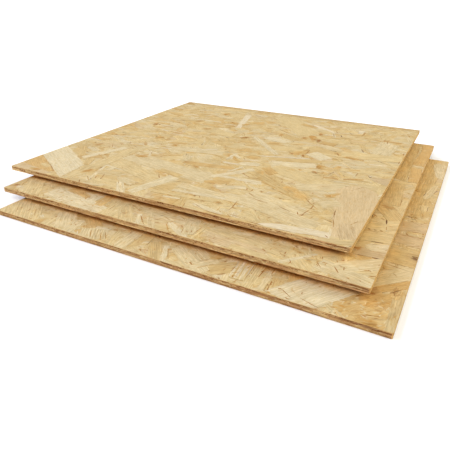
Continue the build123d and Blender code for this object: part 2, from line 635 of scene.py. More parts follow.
def random_turn(rng):
    """Most strands lie within about 35 degrees of the board's length, and some lie any way."""
    if rng.random() < 0.55:
        return rng.normal(0, 0.5)
    return rng.uniform(-math.pi / 2, math.pi / 2)


MIX = (("straw", 0.44), ("pale", 0.17), ("dull", 0.11), ("honey", 0.15), ("amber", 0.06),
       ("pink", 0.035), ("cream", 0.035))


def random_tone(rng, mix=MIX):
    r = rng.random() * sum(share for _, share in mix)
    for name, share in mix:
        r -= share
        if r <= 0:
            return name
    return mix[0][0]


def scattered(rng, half, many=1.0, fine=1.0, mix=MIX):
    """Strands as they fall: large ones first, then smaller ones and slivers."""
    found = []
    m = half + 20
    area = (half / 300) ** 2
    for count, length, width, rag in (
        (300 * many, (80, 150), (14, 46), 3.0),
        (430 * many, (45, 125), (7, 26), 3.0),
        (330 * fine, (28, 90), (3, 11), 2.0),
        (190 * fine, (12, 40), (1.6, 5), 1.0),
    ):
        for _ in range(max(4, int(count * area))):
            w = rng.uniform(*width)
            found.append(Strand(
                rng, rng.uniform(-m, m), rng.uniform(-m, m), random_turn(rng),
                rng.uniform(*length), w, random_tone(rng, mix),
                width1=w * rng.uniform(0.7, 1.15), skew0=rng.normal(0, 0.25),
                skew1=rng.normal(0, 0.25), rag=rag * rng.random(),
                taper0=rng.choice([0, 0, 12, 25]) if w < 12 else 0,
                taper1=rng.choice([0, 0, 12, 25]) if w < 12 else 0,
                bow=rng.normal(0, 0.8), fleck=rng.random() ** 4))
    return found


def bits(rng, x0, y0, x1, y1, count, tones, length=(2.0, 6.0), width=(0.9, 2.2), turn=None,
         soft=0.5):
    """Small chips and flecks, scattered over a patch."""
    found = []
    for _ in range(count):
        a = rng.uniform(-math.pi / 2, math.pi / 2) if turn is None else math.radians(
            turn) + rng.normal(0, 0.25)
        w = rng.uniform(*width)
        found.append(Strand(
            rng, rng.uniform(x0, x1), rng.uniform(y0, y1), a, rng.uniform(*length), w,
            tones[int(rng.integers(len(tones)))], width1=w * rng.uniform(0.4, 1.0), rag=0.6,
            skew0=rng.normal(0, 0.5), skew1=rng.normal(0, 0.5), figure=0.2, soft=soft))
    return found


def crevices(rng, strands, half, count):
    """Open joints along the edges of strands, and cracks in them."""
    found = []
    for _ in range(int(count * (half / 300) ** 2)):
        s = strands[int(rng.integers(len(strands) // 3, len(strands)))]
        length = min(rng.uniform(5, 32), s.length * 0.6)
        u = rng.uniform(-0.5, 0.5) * (s.length - length)
        q = u / s.length + 0.5
        v = rng.choice([-0.5, 0.5]) * (s.w0 + (s.w1 - s.w0) * q) + rng.normal(0, 0.2)
        v += s.bow * (1 - (2 * q - 1) ** 2)
        c, n = math.cos(s.turn), math.sin(s.turn)
        x, y = s.x + u * c - v * n, s.y + u * n + v * c
        a = s.turn + rng.normal(0, 0.05)
        dx, dy = math.cos(a) * length / 2, math.sin(a) * length / 2
        fine = rng.random() < 0.8
        found.append(gap(rng, x - dx, y - dy, x + dx, y + dy,
                         rng.uniform(0.3, 0.9) if fine else rng.uniform(1.0, 1.9),
                         depth=rng.uniform(0.25, 0.5),
                         tone=("deep", "deep", "brown", "brown", "rust", "dark")[int(rng.integers(6))]))
    return found


def ranked(strands):
    """Gives each strand its place in height. What was laid later lies higher, but for gaps."""
    for k, s in enumerate(strands):
        if s.key is None:
            s.key = float(k)
        else:
            s.key = s.key - 1e-4 * k
    return strands


def face_depths(strands, strand, x, y):
    """How deep each vertex lies below the board's face, in mm."""
    n = len(strands)
    rows = np.array([
        (s.x, s.y, math.cos(s.turn), math.sin(s.turn), s.length, max(s.w0, s.w1),
         -1 if s.depth is None else s.depth, s.tilt[0], s.tilt[1], s.ripple[0], s.ripple[1],
         s.ripple[2]) for s in strands])
    rank = np.arange(n) / max(n - 1, 1)
    base = 0.05 + 0.42 * (1 - rank) ** 1.2 + 0.05 * np.sin(np.arange(n) * 12.9898)
    base = np.where(rows[:, 6] >= 0, rows[:, 6], base)
    r = rows[strand]
    dx, dy = x - r[:, 0], y - r[:, 1]
    u, v = dx * r[:, 2] + dy * r[:, 3], -dx * r[:, 3] + dy * r[:, 2]
    d = base[strand] + r[:, 7] * u / r[:, 4] * 2 + r[:, 8] * v / r[:, 5] * 2
    d = d + r[:, 9] * np.sin(u * r[:, 11] + r[:, 10])
    return np.clip(d, 0.015, 1.3)


def side_depths(strands, strand, x, y):
    base = np.array([0.03 if s.depth is None else s.depth for s in strands])
    tilt = np.array([s.tilt[1] for s in strands])
    return np.clip(base[strand] + tilt[strand] * 0.3 * np.sin(x * 0.11 + strand), 0.01, 1.2)


def slivers(rng, reach, high, cut, shade, many=1.0, front=0):
    """What a saw cut shows: slivers of strands, one above another, with dark joints and chips."""
    found = [Strand(rng, 0, high / 2, 0, reach * 2 + 20, high + 2, cut + "_tan", rag=0, depth=0.2)]
    share = reach / 298 * many

    def sliver(x, z, length, thick, tone, depth, **kw):
        found.append(Strand(rng, x, z, rng.normal(0, 0.01), length, thick, cut + tone,
                            width1=thick * rng.uniform(0.6, 1.1), wave=0.1, depth=depth, **kw))

    def joint(x, z, length, thick, tone, turn=0.01, depth=(0.2, 0.5)):
        found.append(Strand(rng, x, z, rng.normal(0, turn), length, thick, cut + tone, rag=0,
                            taper0=length * 0.4, taper1=length * 0.4, bow=rng.normal(0, 0.12),
                            wave=0.08, depth=rng.uniform(*depth), key=-1.0, figure=0.1))

    for _ in range(int(250 * share)):
        sliver(rng.uniform(-reach - 20, reach + 20), rng.uniform(-0.2, high + 0.2),
               rng.uniform(8, 60), rng.uniform(0.5, 1.5), random_tone(rng, (
                   ("_tan", 0.38), ("_pale", 0.22), ("_pink", 0.26), ("_brown", 0.14))),
               rng.uniform(0.03, 0.16), rag=0.4, taper0=rng.choice([0, 4, 8]),
               taper1=rng.choice([0, 4, 8]), bow=rng.normal(0, 0.15),
               figure=rng.uniform(0.3, 0.9))
    for _ in range(int(190 * share)):  # short ends of strands
        sliver(rng.uniform(-reach, reach), rng.uniform(0.2, high - 0.2), rng.uniform(1.5, 7),
               rng.uniform(0.5, 1.6), random_tone(rng, (
                   ("_pale", 0.36), ("_pink", 0.3), ("_tan", 0.18), ("_brown", 0.16))),
               rng.uniform(0.012, 0.03), rag=0.3, skew0=rng.normal(0, 0.5),
               skew1=rng.normal(0, 0.5), figure=rng.uniform(0.3, 0.9))
    if front:
        for _ in range(26):  # towards the left: blocks a few millimetres long
            sliver(rng.uniform(-296, -150), rng.uniform(2.5, 6.2), rng.uniform(2.0, 4.5),
                   rng.uniform(1.6, 3.2), ("_pale", "_brown", "_brown", "_pink")[
                       int(rng.integers(4))], rng.uniform(0.012, 0.05), rag=0.3)
        for x, z, length, thick, tone in (
                (224, 4.2, 17, 4.6, "_pale"), (262, 6.2, 42, 1.5, "_pink"),
                (276, 3.4, 30, 2.0, "_pale"), (284, 5.0, 34, 1.2, "_brown"),
                (246, 2.2, 30, 1.6, "_pink"), (-14, 4.4, 12, 3.4, "_pale"),
                (-258, 4.4, 16, 3.0, "_pale"), (190, 3.2, 28, 2.4, "_pink")):
            sliver(x, z, length, thick, tone, rng.uniform(0.012, 0.03), rag=0.4, taper0=2,
                   taper1=2, figure=0.8)
    body = len(found)
    for level in (1.9, 3.6, 5.6) if high > 6 else ():  # long seams between layers
        x, shift = -reach - 10, rng.uniform(0, 50)
        while x < reach:
            length = rng.uniform(6, 30)
            z = level + 0.5 * math.sin(x * 0.05 + shift) + 0.3 * math.sin(x * 0.17 + shift * 3)
            if rng.random() < 0.5 and (cut == "cut" or rng.random() < 0.5):
                joint(x + length / 2, z, length, rng.uniform(0.28, 0.6),
                      ("_dark", "_brown", "_brown")[int(rng.integers(3))])
            x += length
    for _ in range(int((230 if cut == "cut" else 70) * share)):  # split ends, most near the face
        near = rng.random() < 0.6
        z = rng.normal(5.9, 0.6) if near else rng.uniform(0.4, high - 0.5)
        joint(rng.uniform(-reach, reach), min(z, high - 0.4), rng.uniform(1.3, 4.6),
              rng.uniform(0.45, 1.15 if near else 0.8), random_tone(rng, (
                  ("_dark", 0.5), ("_brown", 0.5))), turn=0.3, depth=(0.1, 0.3))
    for _ in range(int(14 * share)):  # open voids
        joint(rng.uniform(-reach, reach), rng.uniform(1.2, high - 1.2), rng.uniform(2.5, 8),
              rng.uniform(0.4, 0.9), "_dark", depth=(0.7, 1.1))
    if front:
        for _ in range(16):  # a row of dark split ends near the middle
            joint(rng.uniform(11, 46), rng.uniform(5.2, 6.7), rng.uniform(2.2, 4.4),
                  rng.uniform(0.9, 1.5), "_dark", turn=0.2)
        for _ in range(26):  # thin wavy seams right of the middle
            joint(rng.uniform(80, 175), rng.uniform(2.2, 6.8), rng.uniform(4, 11),
                  rng.uniform(0.4, 0.7), ("_dark", "_brown")[int(rng.integers(2))], turn=0.12)
        for _ in range(14):
            joint(rng.uniform(250, 296), rng.uniform(1.2, 6.9), rng.uniform(6, 20),
                  rng.uniform(0.45, 0.9), ("_dark", "_brown")[int(rng.integers(2))], turn=0.03)
        for _ in range(26):
            joint(rng.uniform(-296, -150), rng.uniform(2.5, 6.6), rng.uniform(1.5, 3.2),
                  rng.uniform(0.8, 1.8), "_brown", turn=0.3)
    # what lies deeper is lower in the order, so that no wall leans out
    order = sorted(range(1, body), key=lambda k: -found[k].depth)
    for place, k in enumerate(order):
        found[k].key = 10.0 + place
    found[0].key = 5.0
    for k in range(body, len(found)):
        found[k].key -= found[k].depth + 1e-4 * k
    for s in found:
        # painted light and shade by height: lighter low on the upper boards' sides, darker on the lowest
        # board's
        s.colour = s.colour * [np.interp(s.y / high, HEIGHTS, part) for part in SIDE_PAINTED_LIGHT_AND_SHADE[shade]]
        if front == 2:  # towards the right end the upper half is paler
            lift = np.clip((s.x - 80) / 40, 0, 1) * np.clip((s.y - 4.4) / 1.4, 0, 1)
            s.colour = s.colour * (1 + lift * np.array([0.22, 0.31, 0.48]))
    return found


# ---- a board --------------------------------------------------------------------------------


def round_place(x, y, half):
    """How far round the board's outline a point near it lies: 0 at the front left corner."""
    x, y = np.asarray(x), np.asarray(y)
    ax, ay = np.abs(x), np.abs(y)
    front, rightside, backside = (ay >= ax) & (y < 0), (ax > ay) & (x > 0), (ay >= ax) & (y > 0)
    s = np.where(front, x + half, np.where(rightside, 2 * half + y + half, np.where(
        backside, 4 * half + half - x, 6 * half + half - y)))
    return np.mod(s, 8 * half)


def in_order(ids, s, total):
    """A closed line started where its place is least, and closed by its first vertex again."""
    k = int(np.argmin(s))
    ids, s = ids[k:] + ids[:k], np.r_[s[k:], s[:k]]
    # within a few hundredths of a millimetre the places may run back a little
    s = np.maximum.accumulate(s)
    return ids + ids[:1], np.r_[s, s[0] + total]


class Board:
    """A whole board: six mosaics and the strips that join them, in the board's own frame."""

    def __init__(self, name, side, corner, strands_up, strands_down, rng, pitch=0.5, side_pitch=0.15,
                 grid=15.0, side_many=1.0, lowest=False, cover=None):
        half = side / 2
        flat = half - ARRIS
        straight = half - corner
        self.vert, self.face, self.colour, self.fig = [], [], [], []
        self.grain, self.map, self.slot = [], [], []
        self.count = 0
        stats = []
        up = Mosaic(ranked(strands_up), (-flat, -flat), (flat, flat), pitch, 0.8, 9, rng,
                    face_depths, grid=grid, cut=corner - ARRIS * 0.6, rim=0.22)
        down = Mosaic(ranked(strands_down), (-flat, -flat), (flat, flat), pitch, 1.1, 20, rng,
                      face_depths, grid=grid * 1.6, cut=corner - ARRIS * 0.6, rim=0.22)
        # painted light and shade in the gap under the board above and in the margin beside it
        if cover:
            up.tint = up.tint * self.painted_shade_tint(up.places, *cover)
        elif half > 100:  # darker and warmer along the back edge
            rim = np.clip((up.places[:, 1] - half + 25) / 15, 0, 1)[:, None]
            up.tint = up.tint * (1 - rim * np.array([0.13, 0.20, 0.29]))
        ids_up = self.add(up, lambda p: np.stack([p[:, 0], p[:, 1], THICK - p[:, 2]], 1), 0,
                          (0.004, 0.304, 0.692, 0.692))
        ids_down = self.add(down, lambda p: np.stack([-p[:, 0], p[:, 1], p[:, 2]], 1), 0,
                            (0.704, 0.304, 0.292, 0.692))
        low, high = ARRIS, THICK - ARRIS
        turn = [((1, 0), (0, -1)), ((0, 1), (1, 0)), ((-1, 0), (0, 1)), ((0, -1), (-1, 0))]
        bands = []
        for k, (along, out) in enumerate(turn):
            cut = ("cut", "long")[k % 2]
            m = Mosaic(slivers(rng, straight, high - low, cut, cut + ("_lowest" if lowest else ""),
                               side_many * (1.0, 0.75, 0.6, 0.6)[k],
                               (half > 100) * (1 if cover else 2) if k == 0 else 0),
                       (-straight, 0.0), (straight, high - low), side_pitch, 0.85, 16, rng,
                       side_depths, blend=0.5)
            stats.append(len(m.faces))

            def place(p, along=along, out=out):
                d = half - p[:, 2]
                return np.stack([along[0] * p[:, 0] + out[0] * d, along[1] * p[:, 0] + out[1] * d,
                                 low + p[:, 1]], 1)

            offset = self.add(m, place, 1, (0.004, 0.006 + 0.062 * k, 0.992, 0.056))
            loop, _ = m.rim_loop()
            at = m.places[loop]
            corners = []
            for cx, cy in ((-straight, 0), (straight, 0), (straight, high - low),
                           (-straight, high - low)):
                corners.append(int(np.argmin(np.abs(at[:, 0] - cx) + np.abs(at[:, 1] - cy))))
            c0, c1, c2, c3 = corners

            def run(a, b):
                ids = [loop[(a + t) % len(loop)] + offset for t in range((b - a) % len(loop) + 1)]
                return ids

            bands.append({"bottom": run(c0, c1), "right": run(c1, c2), "top": run(c2, c3)[::-1],
                          "left": run(c3, c0)[::-1]})
        # the rounded corners, from the right end of one side to the left end of the next
        top_line, bottom_line = [], []
        levels = np.linspace(low, high, 8)
        for k in range(4):
            here, after = bands[k], bands[(k + 1) % 4]
            (ax, ay), (ox, oy) = turn[k]
            cx, cy = ax * straight + ox * straight, ay * straight + oy * straight
            columns = [here["right"]]
            for part in (1, 2, 3):
                a = math.radians(22.5 * part)
                dx, dy = ox * math.cos(a) + ax * math.sin(a), oy * math.cos(a) + ay * math.sin(a)
                r = corner - rng.uniform(0.02, 0.18, len(levels))
                z = levels + np.r_[0, rng.uniform(-0.25, 0.25, len(levels) - 2), 0]
                columns.append(self.points(np.stack([cx + dx * r, cy + dy * r, z], 1)))
            columns.append(after["left"])
            tris = []
            for p, q in zip(columns, columns[1:]):
                tris += zipper(p, q, self.z(p), self.z(q))
            self.strip(tris, "long_pink", rng, 1, (0.004 + 0.25 * k, 0.290, 0.2, 0.010),
                       along=0.0)
            top_line += here["top"] + [c[-1] for c in columns[1:-1]]
            bottom_line += here["bottom"] + [c[0] for c in columns[1:-1]]
        # the arrises
        total = 8 * half
        verts = np.concatenate(self.vert)
        loop_up = [v + ids_up for v in up.rim_loop()[0]]
        loop_down = [v + ids_down for v in down.rim_loop()[0]][::-1]
        for p, q, row, tone in ((loop_up, top_line, 0.262, "long_tan"),
                                (bottom_line, loop_down, 0.276, "cut_tan")):
            sp = round_place(verts[p, 0], verts[p, 1], half)
            sq = round_place(verts[q, 0], verts[q, 1], half)
            p, sp = in_order(list(p), sp, total)
            q, sq = in_order(list(q), sq, total)
            self.strip(zipper(p, q, sp, sq), tone, rng, 1, (0.004, row, 0.992, 0.010), half=half)
        self.stats = (len(up.faces), len(down.faces), stats)
        self.name = name

    def painted_shade_tint(self, places, front, right):
        """Painted light and shade at and under the board above: factors that warm the shade there. Its front
        and right edges lie at y = front and x = right."""
        x, y = places[:, 0], places[:, 1]
        at_front = np.clip((right - 4 - x) / 26, 0, 1)
        at_right = np.clip((y - front + 15) / 20, 0, 1)
        factor = []
        for part, other in zip(FRONT_PAINTED_SHADE_TINT[1], RIGHT_PAINTED_SHADE_TINT[1]):
            f = 1 + (np.interp(y - front, FRONT_PAINTED_SHADE_TINT[0], part) - 1) * at_front
            factor.append(f * (1 + (np.interp(right - x, RIGHT_PAINTED_SHADE_TINT[0], other) - 1) * at_right))
        return np.stack(factor, 1)

    def z(self, ids):
        v = np.concatenate(self.vert)
        return np.maximum.accumulate(v[ids, 2])

    def points(self, places):
        start = self.count
        self.vert.append(places)
        self.count += len(places)
        return list(range(start, self.count))

    def add(self, mosaic, place, slot, area):
        """Adds a mosaic's mesh. area is where it lies on the map: x, y, width, height."""
        offset = self.count
        p = mosaic.places
        self.vert.append(place(p))
        self.count += len(p)
        self.face.append(mosaic.faces + offset)
        rows = np.array([
            (s.x, s.y, math.cos(s.turn), math.sin(s.turn), s.seed, s.figure, s.period, s.fleck,
             *s.colour) for s in mosaic.strands])
        r = rows[mosaic.owner]
        tint = np.repeat(r[:, None, 8:11], 3, axis=1)
        tint[:mosaic.tops] = mosaic.tint[mosaic.faces[:mosaic.tops]]
        self.colour.append(tint)
        self.fig.append(r[:, 5:8])
        at = p[mosaic.faces]  # faces, 3 corners, xyz
        dx, dy = at[:, :, 0] - r[:, None, 0], at[:, :, 1] - r[:, None, 1]
        u = dx * r[:, None, 2] + dy * r[:, None, 3]
        v = -dx * r[:, None, 3] + dy * r[:, None, 2] + at[:, :, 2]
        self.grain.append(np.stack([u, v, np.broadcast_to(r[:, None, 4], u.shape)], 2))
        ux = (at[:, :, 0] - mosaic.low[0]) / (mosaic.high[0] - mosaic.low[0])
        uy = (at[:, :, 1] - mosaic.low[1]) / (mosaic.high[1] - mosaic.low[1])
        self.map.append(np.stack([area[0] + area[2] * ux, area[1] + area[3] * uy], 2))
        self.slot.append(np.full(len(mosaic.faces), slot))
        return offset

    def strip(self, tris, tone, rng, slot, area, half=None, along=None):
        verts = np.concatenate(self.vert)
        tris = np.array(tris, np.int64)
        at = verts[tris]
        self.face.append(tris)
        n = len(tris)
        if half:
            s = round_place(at[:, :, 0], at[:, :, 1], half)
            lowest = s.min(1, keepdims=True)
            s = np.where((s.max(1, keepdims=True) - lowest > 4 * half) & (s < 4 * half),
                         s + 8 * half, s)
            fx = np.clip(s / (8 * half), 0, 1)
            mid = at[:, :, 2] > THICK / 2
            fy = np.where(mid, (THICK - at[:, :, 2]) / 0.6, at[:, :, 2] / 0.6)
            u, v = s, at[:, :, 2] * 1.0
            wave = np.sin(s.mean(1) * 0.21) * 0.04 + np.sin(s.mean(1) * 0.047 + 1) * 0.05
            # the front and the back arrises are darker: partly the sawn wood's own colour, partly painted
            # shade against the bright line the lamps draw along them
            wave = wave - np.where(mid.all(1) & (np.mod(s.mean(1), 4 * half) < 2 * half), 0.14, 0)
        else:
            low = at.reshape(-1, 3).min(0)
            span = np.maximum(at.reshape(-1, 3).max(0) - low, 1e-6)
            d = (at - low) / span
            fx, fy = d[:, :, 2], (d[:, :, 0] + d[:, :, 1]) / 2
            u, v = (at[:, :, 0] + at[:, :, 1]), at[:, :, 2]
            wave = np.zeros(n)
        self.colour.append(np.repeat(ALBEDO[tone] * (1 + wave[:, None, None]), 3, axis=1))
        self.fig.append(np.tile([0.5, 2.2, 0.2], (n, 1)))
        self.grain.append(np.stack([u, v, np.full(u.shape, 5.0)], 2))
        self.map.append(np.stack([area[0] + area[2] * fx, area[1] + area[3] * np.clip(fy, 0, 1)], 2))
        self.slot.append(np.full(n, slot))

    def mesh(self, place, turn):
        """The mesh in the row frame, in metres: the board turned about Z and put in its place."""
        v = np.concatenate(self.vert)
        c, s = math.cos(turn), math.sin(turn)
        v = np.stack([v[:, 0] * c - v[:, 1] * s, v[:, 0] * s + v[:, 1] * c, v[:, 2]], 1)
        v = (v + np.array(place)) / 1000
        f = np.concatenate(self.face)
        # vertices that fall on one place become one, and the faces that this closes are dropped
        v, same = np.unique(v.astype(np.float32), axis=0, return_inverse=True)
        f = same.reshape(-1)[f]
        keep = (f[:, 0] != f[:, 1]) & (f[:, 1] != f[:, 2]) & (f[:, 0] != f[:, 2])
        f = f[keep]
        me = bpy.data.meshes.new(self.name)
        me.vertices.add(len(v))
        me.vertices.foreach_set("co", v.ravel())
        me.loops.add(len(f) * 3)
        me.polygons.add(len(f))
        me.polygons.foreach_set("loop_start", np.arange(0, len(f) * 3, 3, dtype=np.int32))
        me.loops.foreach_set("vertex_index", f.astype(np.int32).ravel())
        me.polygons.foreach_set("material_index", np.concatenate(self.slot)[keep].astype(np.int32))
        me.update(calc_edges=True)
        uv = me.uv_layers.new(name="OFBake")
        uv.uv.foreach_set("vector", np.concatenate(self.map)[keep].astype(np.float32).ravel())
        for label, values, kind, domain in (
            ("strand_colour", np.concatenate(self.colour), "FLOAT_VECTOR", "CORNER"),
            ("strand_figure", np.concatenate(self.fig), "FLOAT_VECTOR", "FACE"),
            ("strand_grain", np.concatenate(self.grain), "FLOAT_VECTOR", "CORNER"),
        ):
            layer = me.attributes.new(label, kind, domain)
            layer.data.foreach_set("vector", values[keep].astype(np.float32).ravel())
        me.polygons.foreach_set("use_smooth", np.zeros(len(f), bool))
        me.validate(verbose=False, clean_customdata=False)
        return me


# ---- materials --------------------------------------------------------------------------------


class Nodes:
    """A few shorthands for node trees."""

    def __init__(self, name):
        self.mat = bpy.data.materials.new(name)
        self.mat.use_nodes = True
        self.tree = self.mat.node_tree
        self.tree.nodes.clear()
        self.out = self.tree.nodes.new("ShaderNodeOutputMaterial")
        self.bsdf = self.tree.nodes.new("ShaderNodeBsdfPrincipled")
        self.tree.links.new(self.bsdf.outputs[0], self.out.inputs[0])

    def put(self, socket, value):
        if isinstance(value, bpy.types.NodeSocket):
            self.tree.links.new(value, socket)
        else:
            socket.default_value = value

    def node(self, kind, **settings):
        n = self.tree.nodes.new(kind)
        for k, v in settings.items():
            setattr(n, k, v)
        return n

    def attribute(self, name):
        n = self.node("ShaderNodeAttribute", attribute_type="GEOMETRY", attribute_name=name)
        return n.outputs["Vector"]

    def split(self, vector):
        n = self.node("ShaderNodeSeparateXYZ")
        self.put(n.inputs[0], vector)
        return n.outputs[0], n.outputs[1], n.outputs[2]

    def join(self, x, y, z):
        n = self.node("ShaderNodeCombineXYZ")
        for socket, value in zip(n.inputs, (x, y, z)):
            self.put(socket, value)
        return n.outputs[0]

    def math(self, what, a, b=0.0, c=None, clamp=False):
        n = self.node("ShaderNodeMath", operation=what, use_clamp=clamp)
        self.put(n.inputs[0], a)
        self.put(n.inputs[1], b)
        if c is not None:
            self.put(n.inputs[2], c)
        return n.outputs[0]

    def noise(self, vector, scale=1.0, detail=2.0, rough=0.5, distortion=0.0):
        n = self.node("ShaderNodeTexNoise")
        self.put(n.inputs["Vector"], vector)
        n.inputs["Scale"].default_value = scale
        n.inputs["Detail"].default_value = detail
        n.inputs["Roughness"].default_value = rough
        n.inputs["Distortion"].default_value = distortion
        return n.outputs["Fac"]

    def steps(self, value, low, high, to_low=0.0, to_high=1.0):
        n = self.node("ShaderNodeMapRange", interpolation_type="SMOOTHSTEP")
        self.put(n.inputs[0], value)
        n.inputs[1].default_value, n.inputs[2].default_value = low, high
        n.inputs[3].default_value, n.inputs[4].default_value = to_low, to_high
        return n.outputs[0]

    def mix(self, factor, a, b):
        n = self.node("ShaderNodeMix", data_type="RGBA")
        self.put(n.inputs[0], factor)
        self.put(n.inputs[6], a)
        self.put(n.inputs[7], b)
        return n.outputs[2]

    def scaled(self, vector, factor):
        n = self.node("ShaderNodeVectorMath", operation="SCALE")
        self.put(n.inputs[0], vector)
        self.put(n.inputs["Scale"], factor)
        return n.outputs[0]

    def times(self, a, b):
        n = self.node("ShaderNodeVectorMath", operation="MULTIPLY")
        self.put(n.inputs[0], a)
        self.put(n.inputs[1], b)
        return n.outputs[0]


def wood(name, cut=False):
    """Wood grain drawn in each strand's own frame: u along the grain, v across, seed apart."""
    m = Nodes(name)
    colour = m.attribute("strand_colour")
    figure, period, fleck = m.split(m.attribute("strand_figure"))
    u, v, seed = m.split(m.attribute("strand_grain"))
    shift = m.math("MULTIPLY", seed, 3.7)
    # growth rings: lines that wander along the strand
    drift = m.noise(m.join(m.math("MULTIPLY", u, 0.016), m.math("MULTIPLY", v, 0.05), shift),
                    detail=1.0)
    wander = m.math("MULTIPLY_ADD", drift, 9.0, v)
    phase = m.math("DIVIDE", wander, period)
    ring = m.math("SINE", m.math("MULTIPLY", phase, 6.2832))
    ring = m.math("MULTIPLY_ADD", ring, 0.5, 0.5)
    ring = m.math("POWER", ring, 2.2)
    # streaks a few millimetres wide, and fibres a few tenths
    streak = m.noise(m.join(m.math("MULTIPLY", u, 0.045), m.math("MULTIPLY", v, 0.55), shift),
                     detail=4.0, rough=0.7)
    fibre = m.noise(m.join(m.math("MULTIPLY", u, 0.14), m.math("MULTIPLY", v, 2.6), shift),
                    detail=3.0, rough=0.65)
    cloud = m.noise(m.join(m.math("MULTIPLY", u, 0.035), m.math("MULTIPLY", v, 0.07), shift),
                    detail=2.0)
    lively = m.steps(figure, 0.0, 0.3, 0.5, 1.0)  # some strands are smooth, others streaky
    streaked = m.math("MULTIPLY", m.math("SUBTRACT", streak, 0.5), lively)
    tone = m.math("MULTIPLY_ADD", streaked, 1.22 if not cut else 1.0, 1.03)
    tone = m.math("MULTIPLY_ADD", m.math("SUBTRACT", fibre, 0.5), 0.6, tone)
    tone = m.math("MULTIPLY_ADD", m.math("SUBTRACT", cloud, 0.5), 0.22, tone)
    ringed = m.math("MULTIPLY", ring, m.math("MULTIPLY", figure, -0.11))
    tone = m.math("ADD", tone, ringed)
    shaded = m.scaled(colour, tone)
    # golden resin stains, which pass over the borders between strands
    where = m.node("ShaderNodeTexCoord").outputs["Object"]
    stain = m.noise(where, scale=110.0, detail=4.0, rough=0.62, distortion=0.4)
    within = m.noise(m.join(m.math("MULTIPLY", u, 0.08), m.math("MULTIPLY", v, 0.32), shift),
                     detail=2.0, rough=0.6)
    stain = m.math("MULTIPLY_ADD", within, 0.5, m.math("MULTIPLY", stain, 0.5))
    stained = m.math("MULTIPLY", m.steps(stain, 0.50, 0.60),
                     m.math("MULTIPLY_ADD", fleck, 0.5, 0.42))
    shaded = m.mix(stained, shaded, m.times(shaded, (0.93, 0.84, 0.66)))
    # short dark dashes along the grain, where a fibre has lifted or split
    dash = m.noise(m.join(m.math("MULTIPLY", u, 0.14), m.math("MULTIPLY", v, 0.9), shift),
                   detail=1.0, rough=0.5)
    dashed = m.steps(dash, 0.64, 0.71)
    shaded = m.mix(m.math("MULTIPLY", dashed, 0.7), shaded, m.times(shaded, (0.80, 0.64, 0.42)))
    light = m.steps(dash, 0.34, 0.28)
    shaded = m.mix(m.math("MULTIPLY", light, 0.5), shaded, m.times(shaded, (1.10, 1.15, 1.28)))
    # what is darker is also warmer
    warm = m.steps(tone, 0.72, 1.12, 1.0, 0.0)
    shaded = m.mix(m.math("MULTIPLY", warm, 0.55), shaded,
                   m.times(shaded, (1.03, 0.93, 0.74)))
    # resin and bark flecks
    specks = m.noise(m.join(m.math("MULTIPLY", u, 0.32), m.math("MULTIPLY", v, 0.75), shift),
                     detail=2.0, rough=0.6)
    speck = m.steps(specks, 0.67, 0.74)
    amount = m.math("MULTIPLY", speck, m.math("MULTIPLY_ADD", fleck, 0.5, 0.28))
    shaded = m.mix(amount, shaded, m.times(shaded, (0.62, 0.47, 0.33)))
    m.put(m.bsdf.inputs["Base Color"], shaded)
    rough = m.math("MULTIPLY_ADD", fibre, 0.16, 0.56 if not cut else 0.72)
    m.put(m.bsdf.inputs["Roughness"], rough)
    m.bsdf.inputs["Specular IOR Level"].default_value = 0.32 if not cut else 0.2
    bump = m.node("ShaderNodeBump")
    bump.inputs["Strength"].default_value = 0.5
    bump.inputs["Distance"].default_value = 0.00012
    height = m.math("MULTIPLY_ADD", streak, 0.8, fibre)
    m.put(bump.inputs["Height"], m.math("ADD", height, m.math("MULTIPLY", ringed, 2.0)))
    m.tree.links.new(bump.outputs[0], m.bsdf.inputs["Normal"])
    return m.mat


FACE_WOOD = wood("osb_face")
CUT_WOOD = wood("osb_sawn_edge", cut=True)


# ---- the strands that the photograph lets one tell apart ------------------------------------


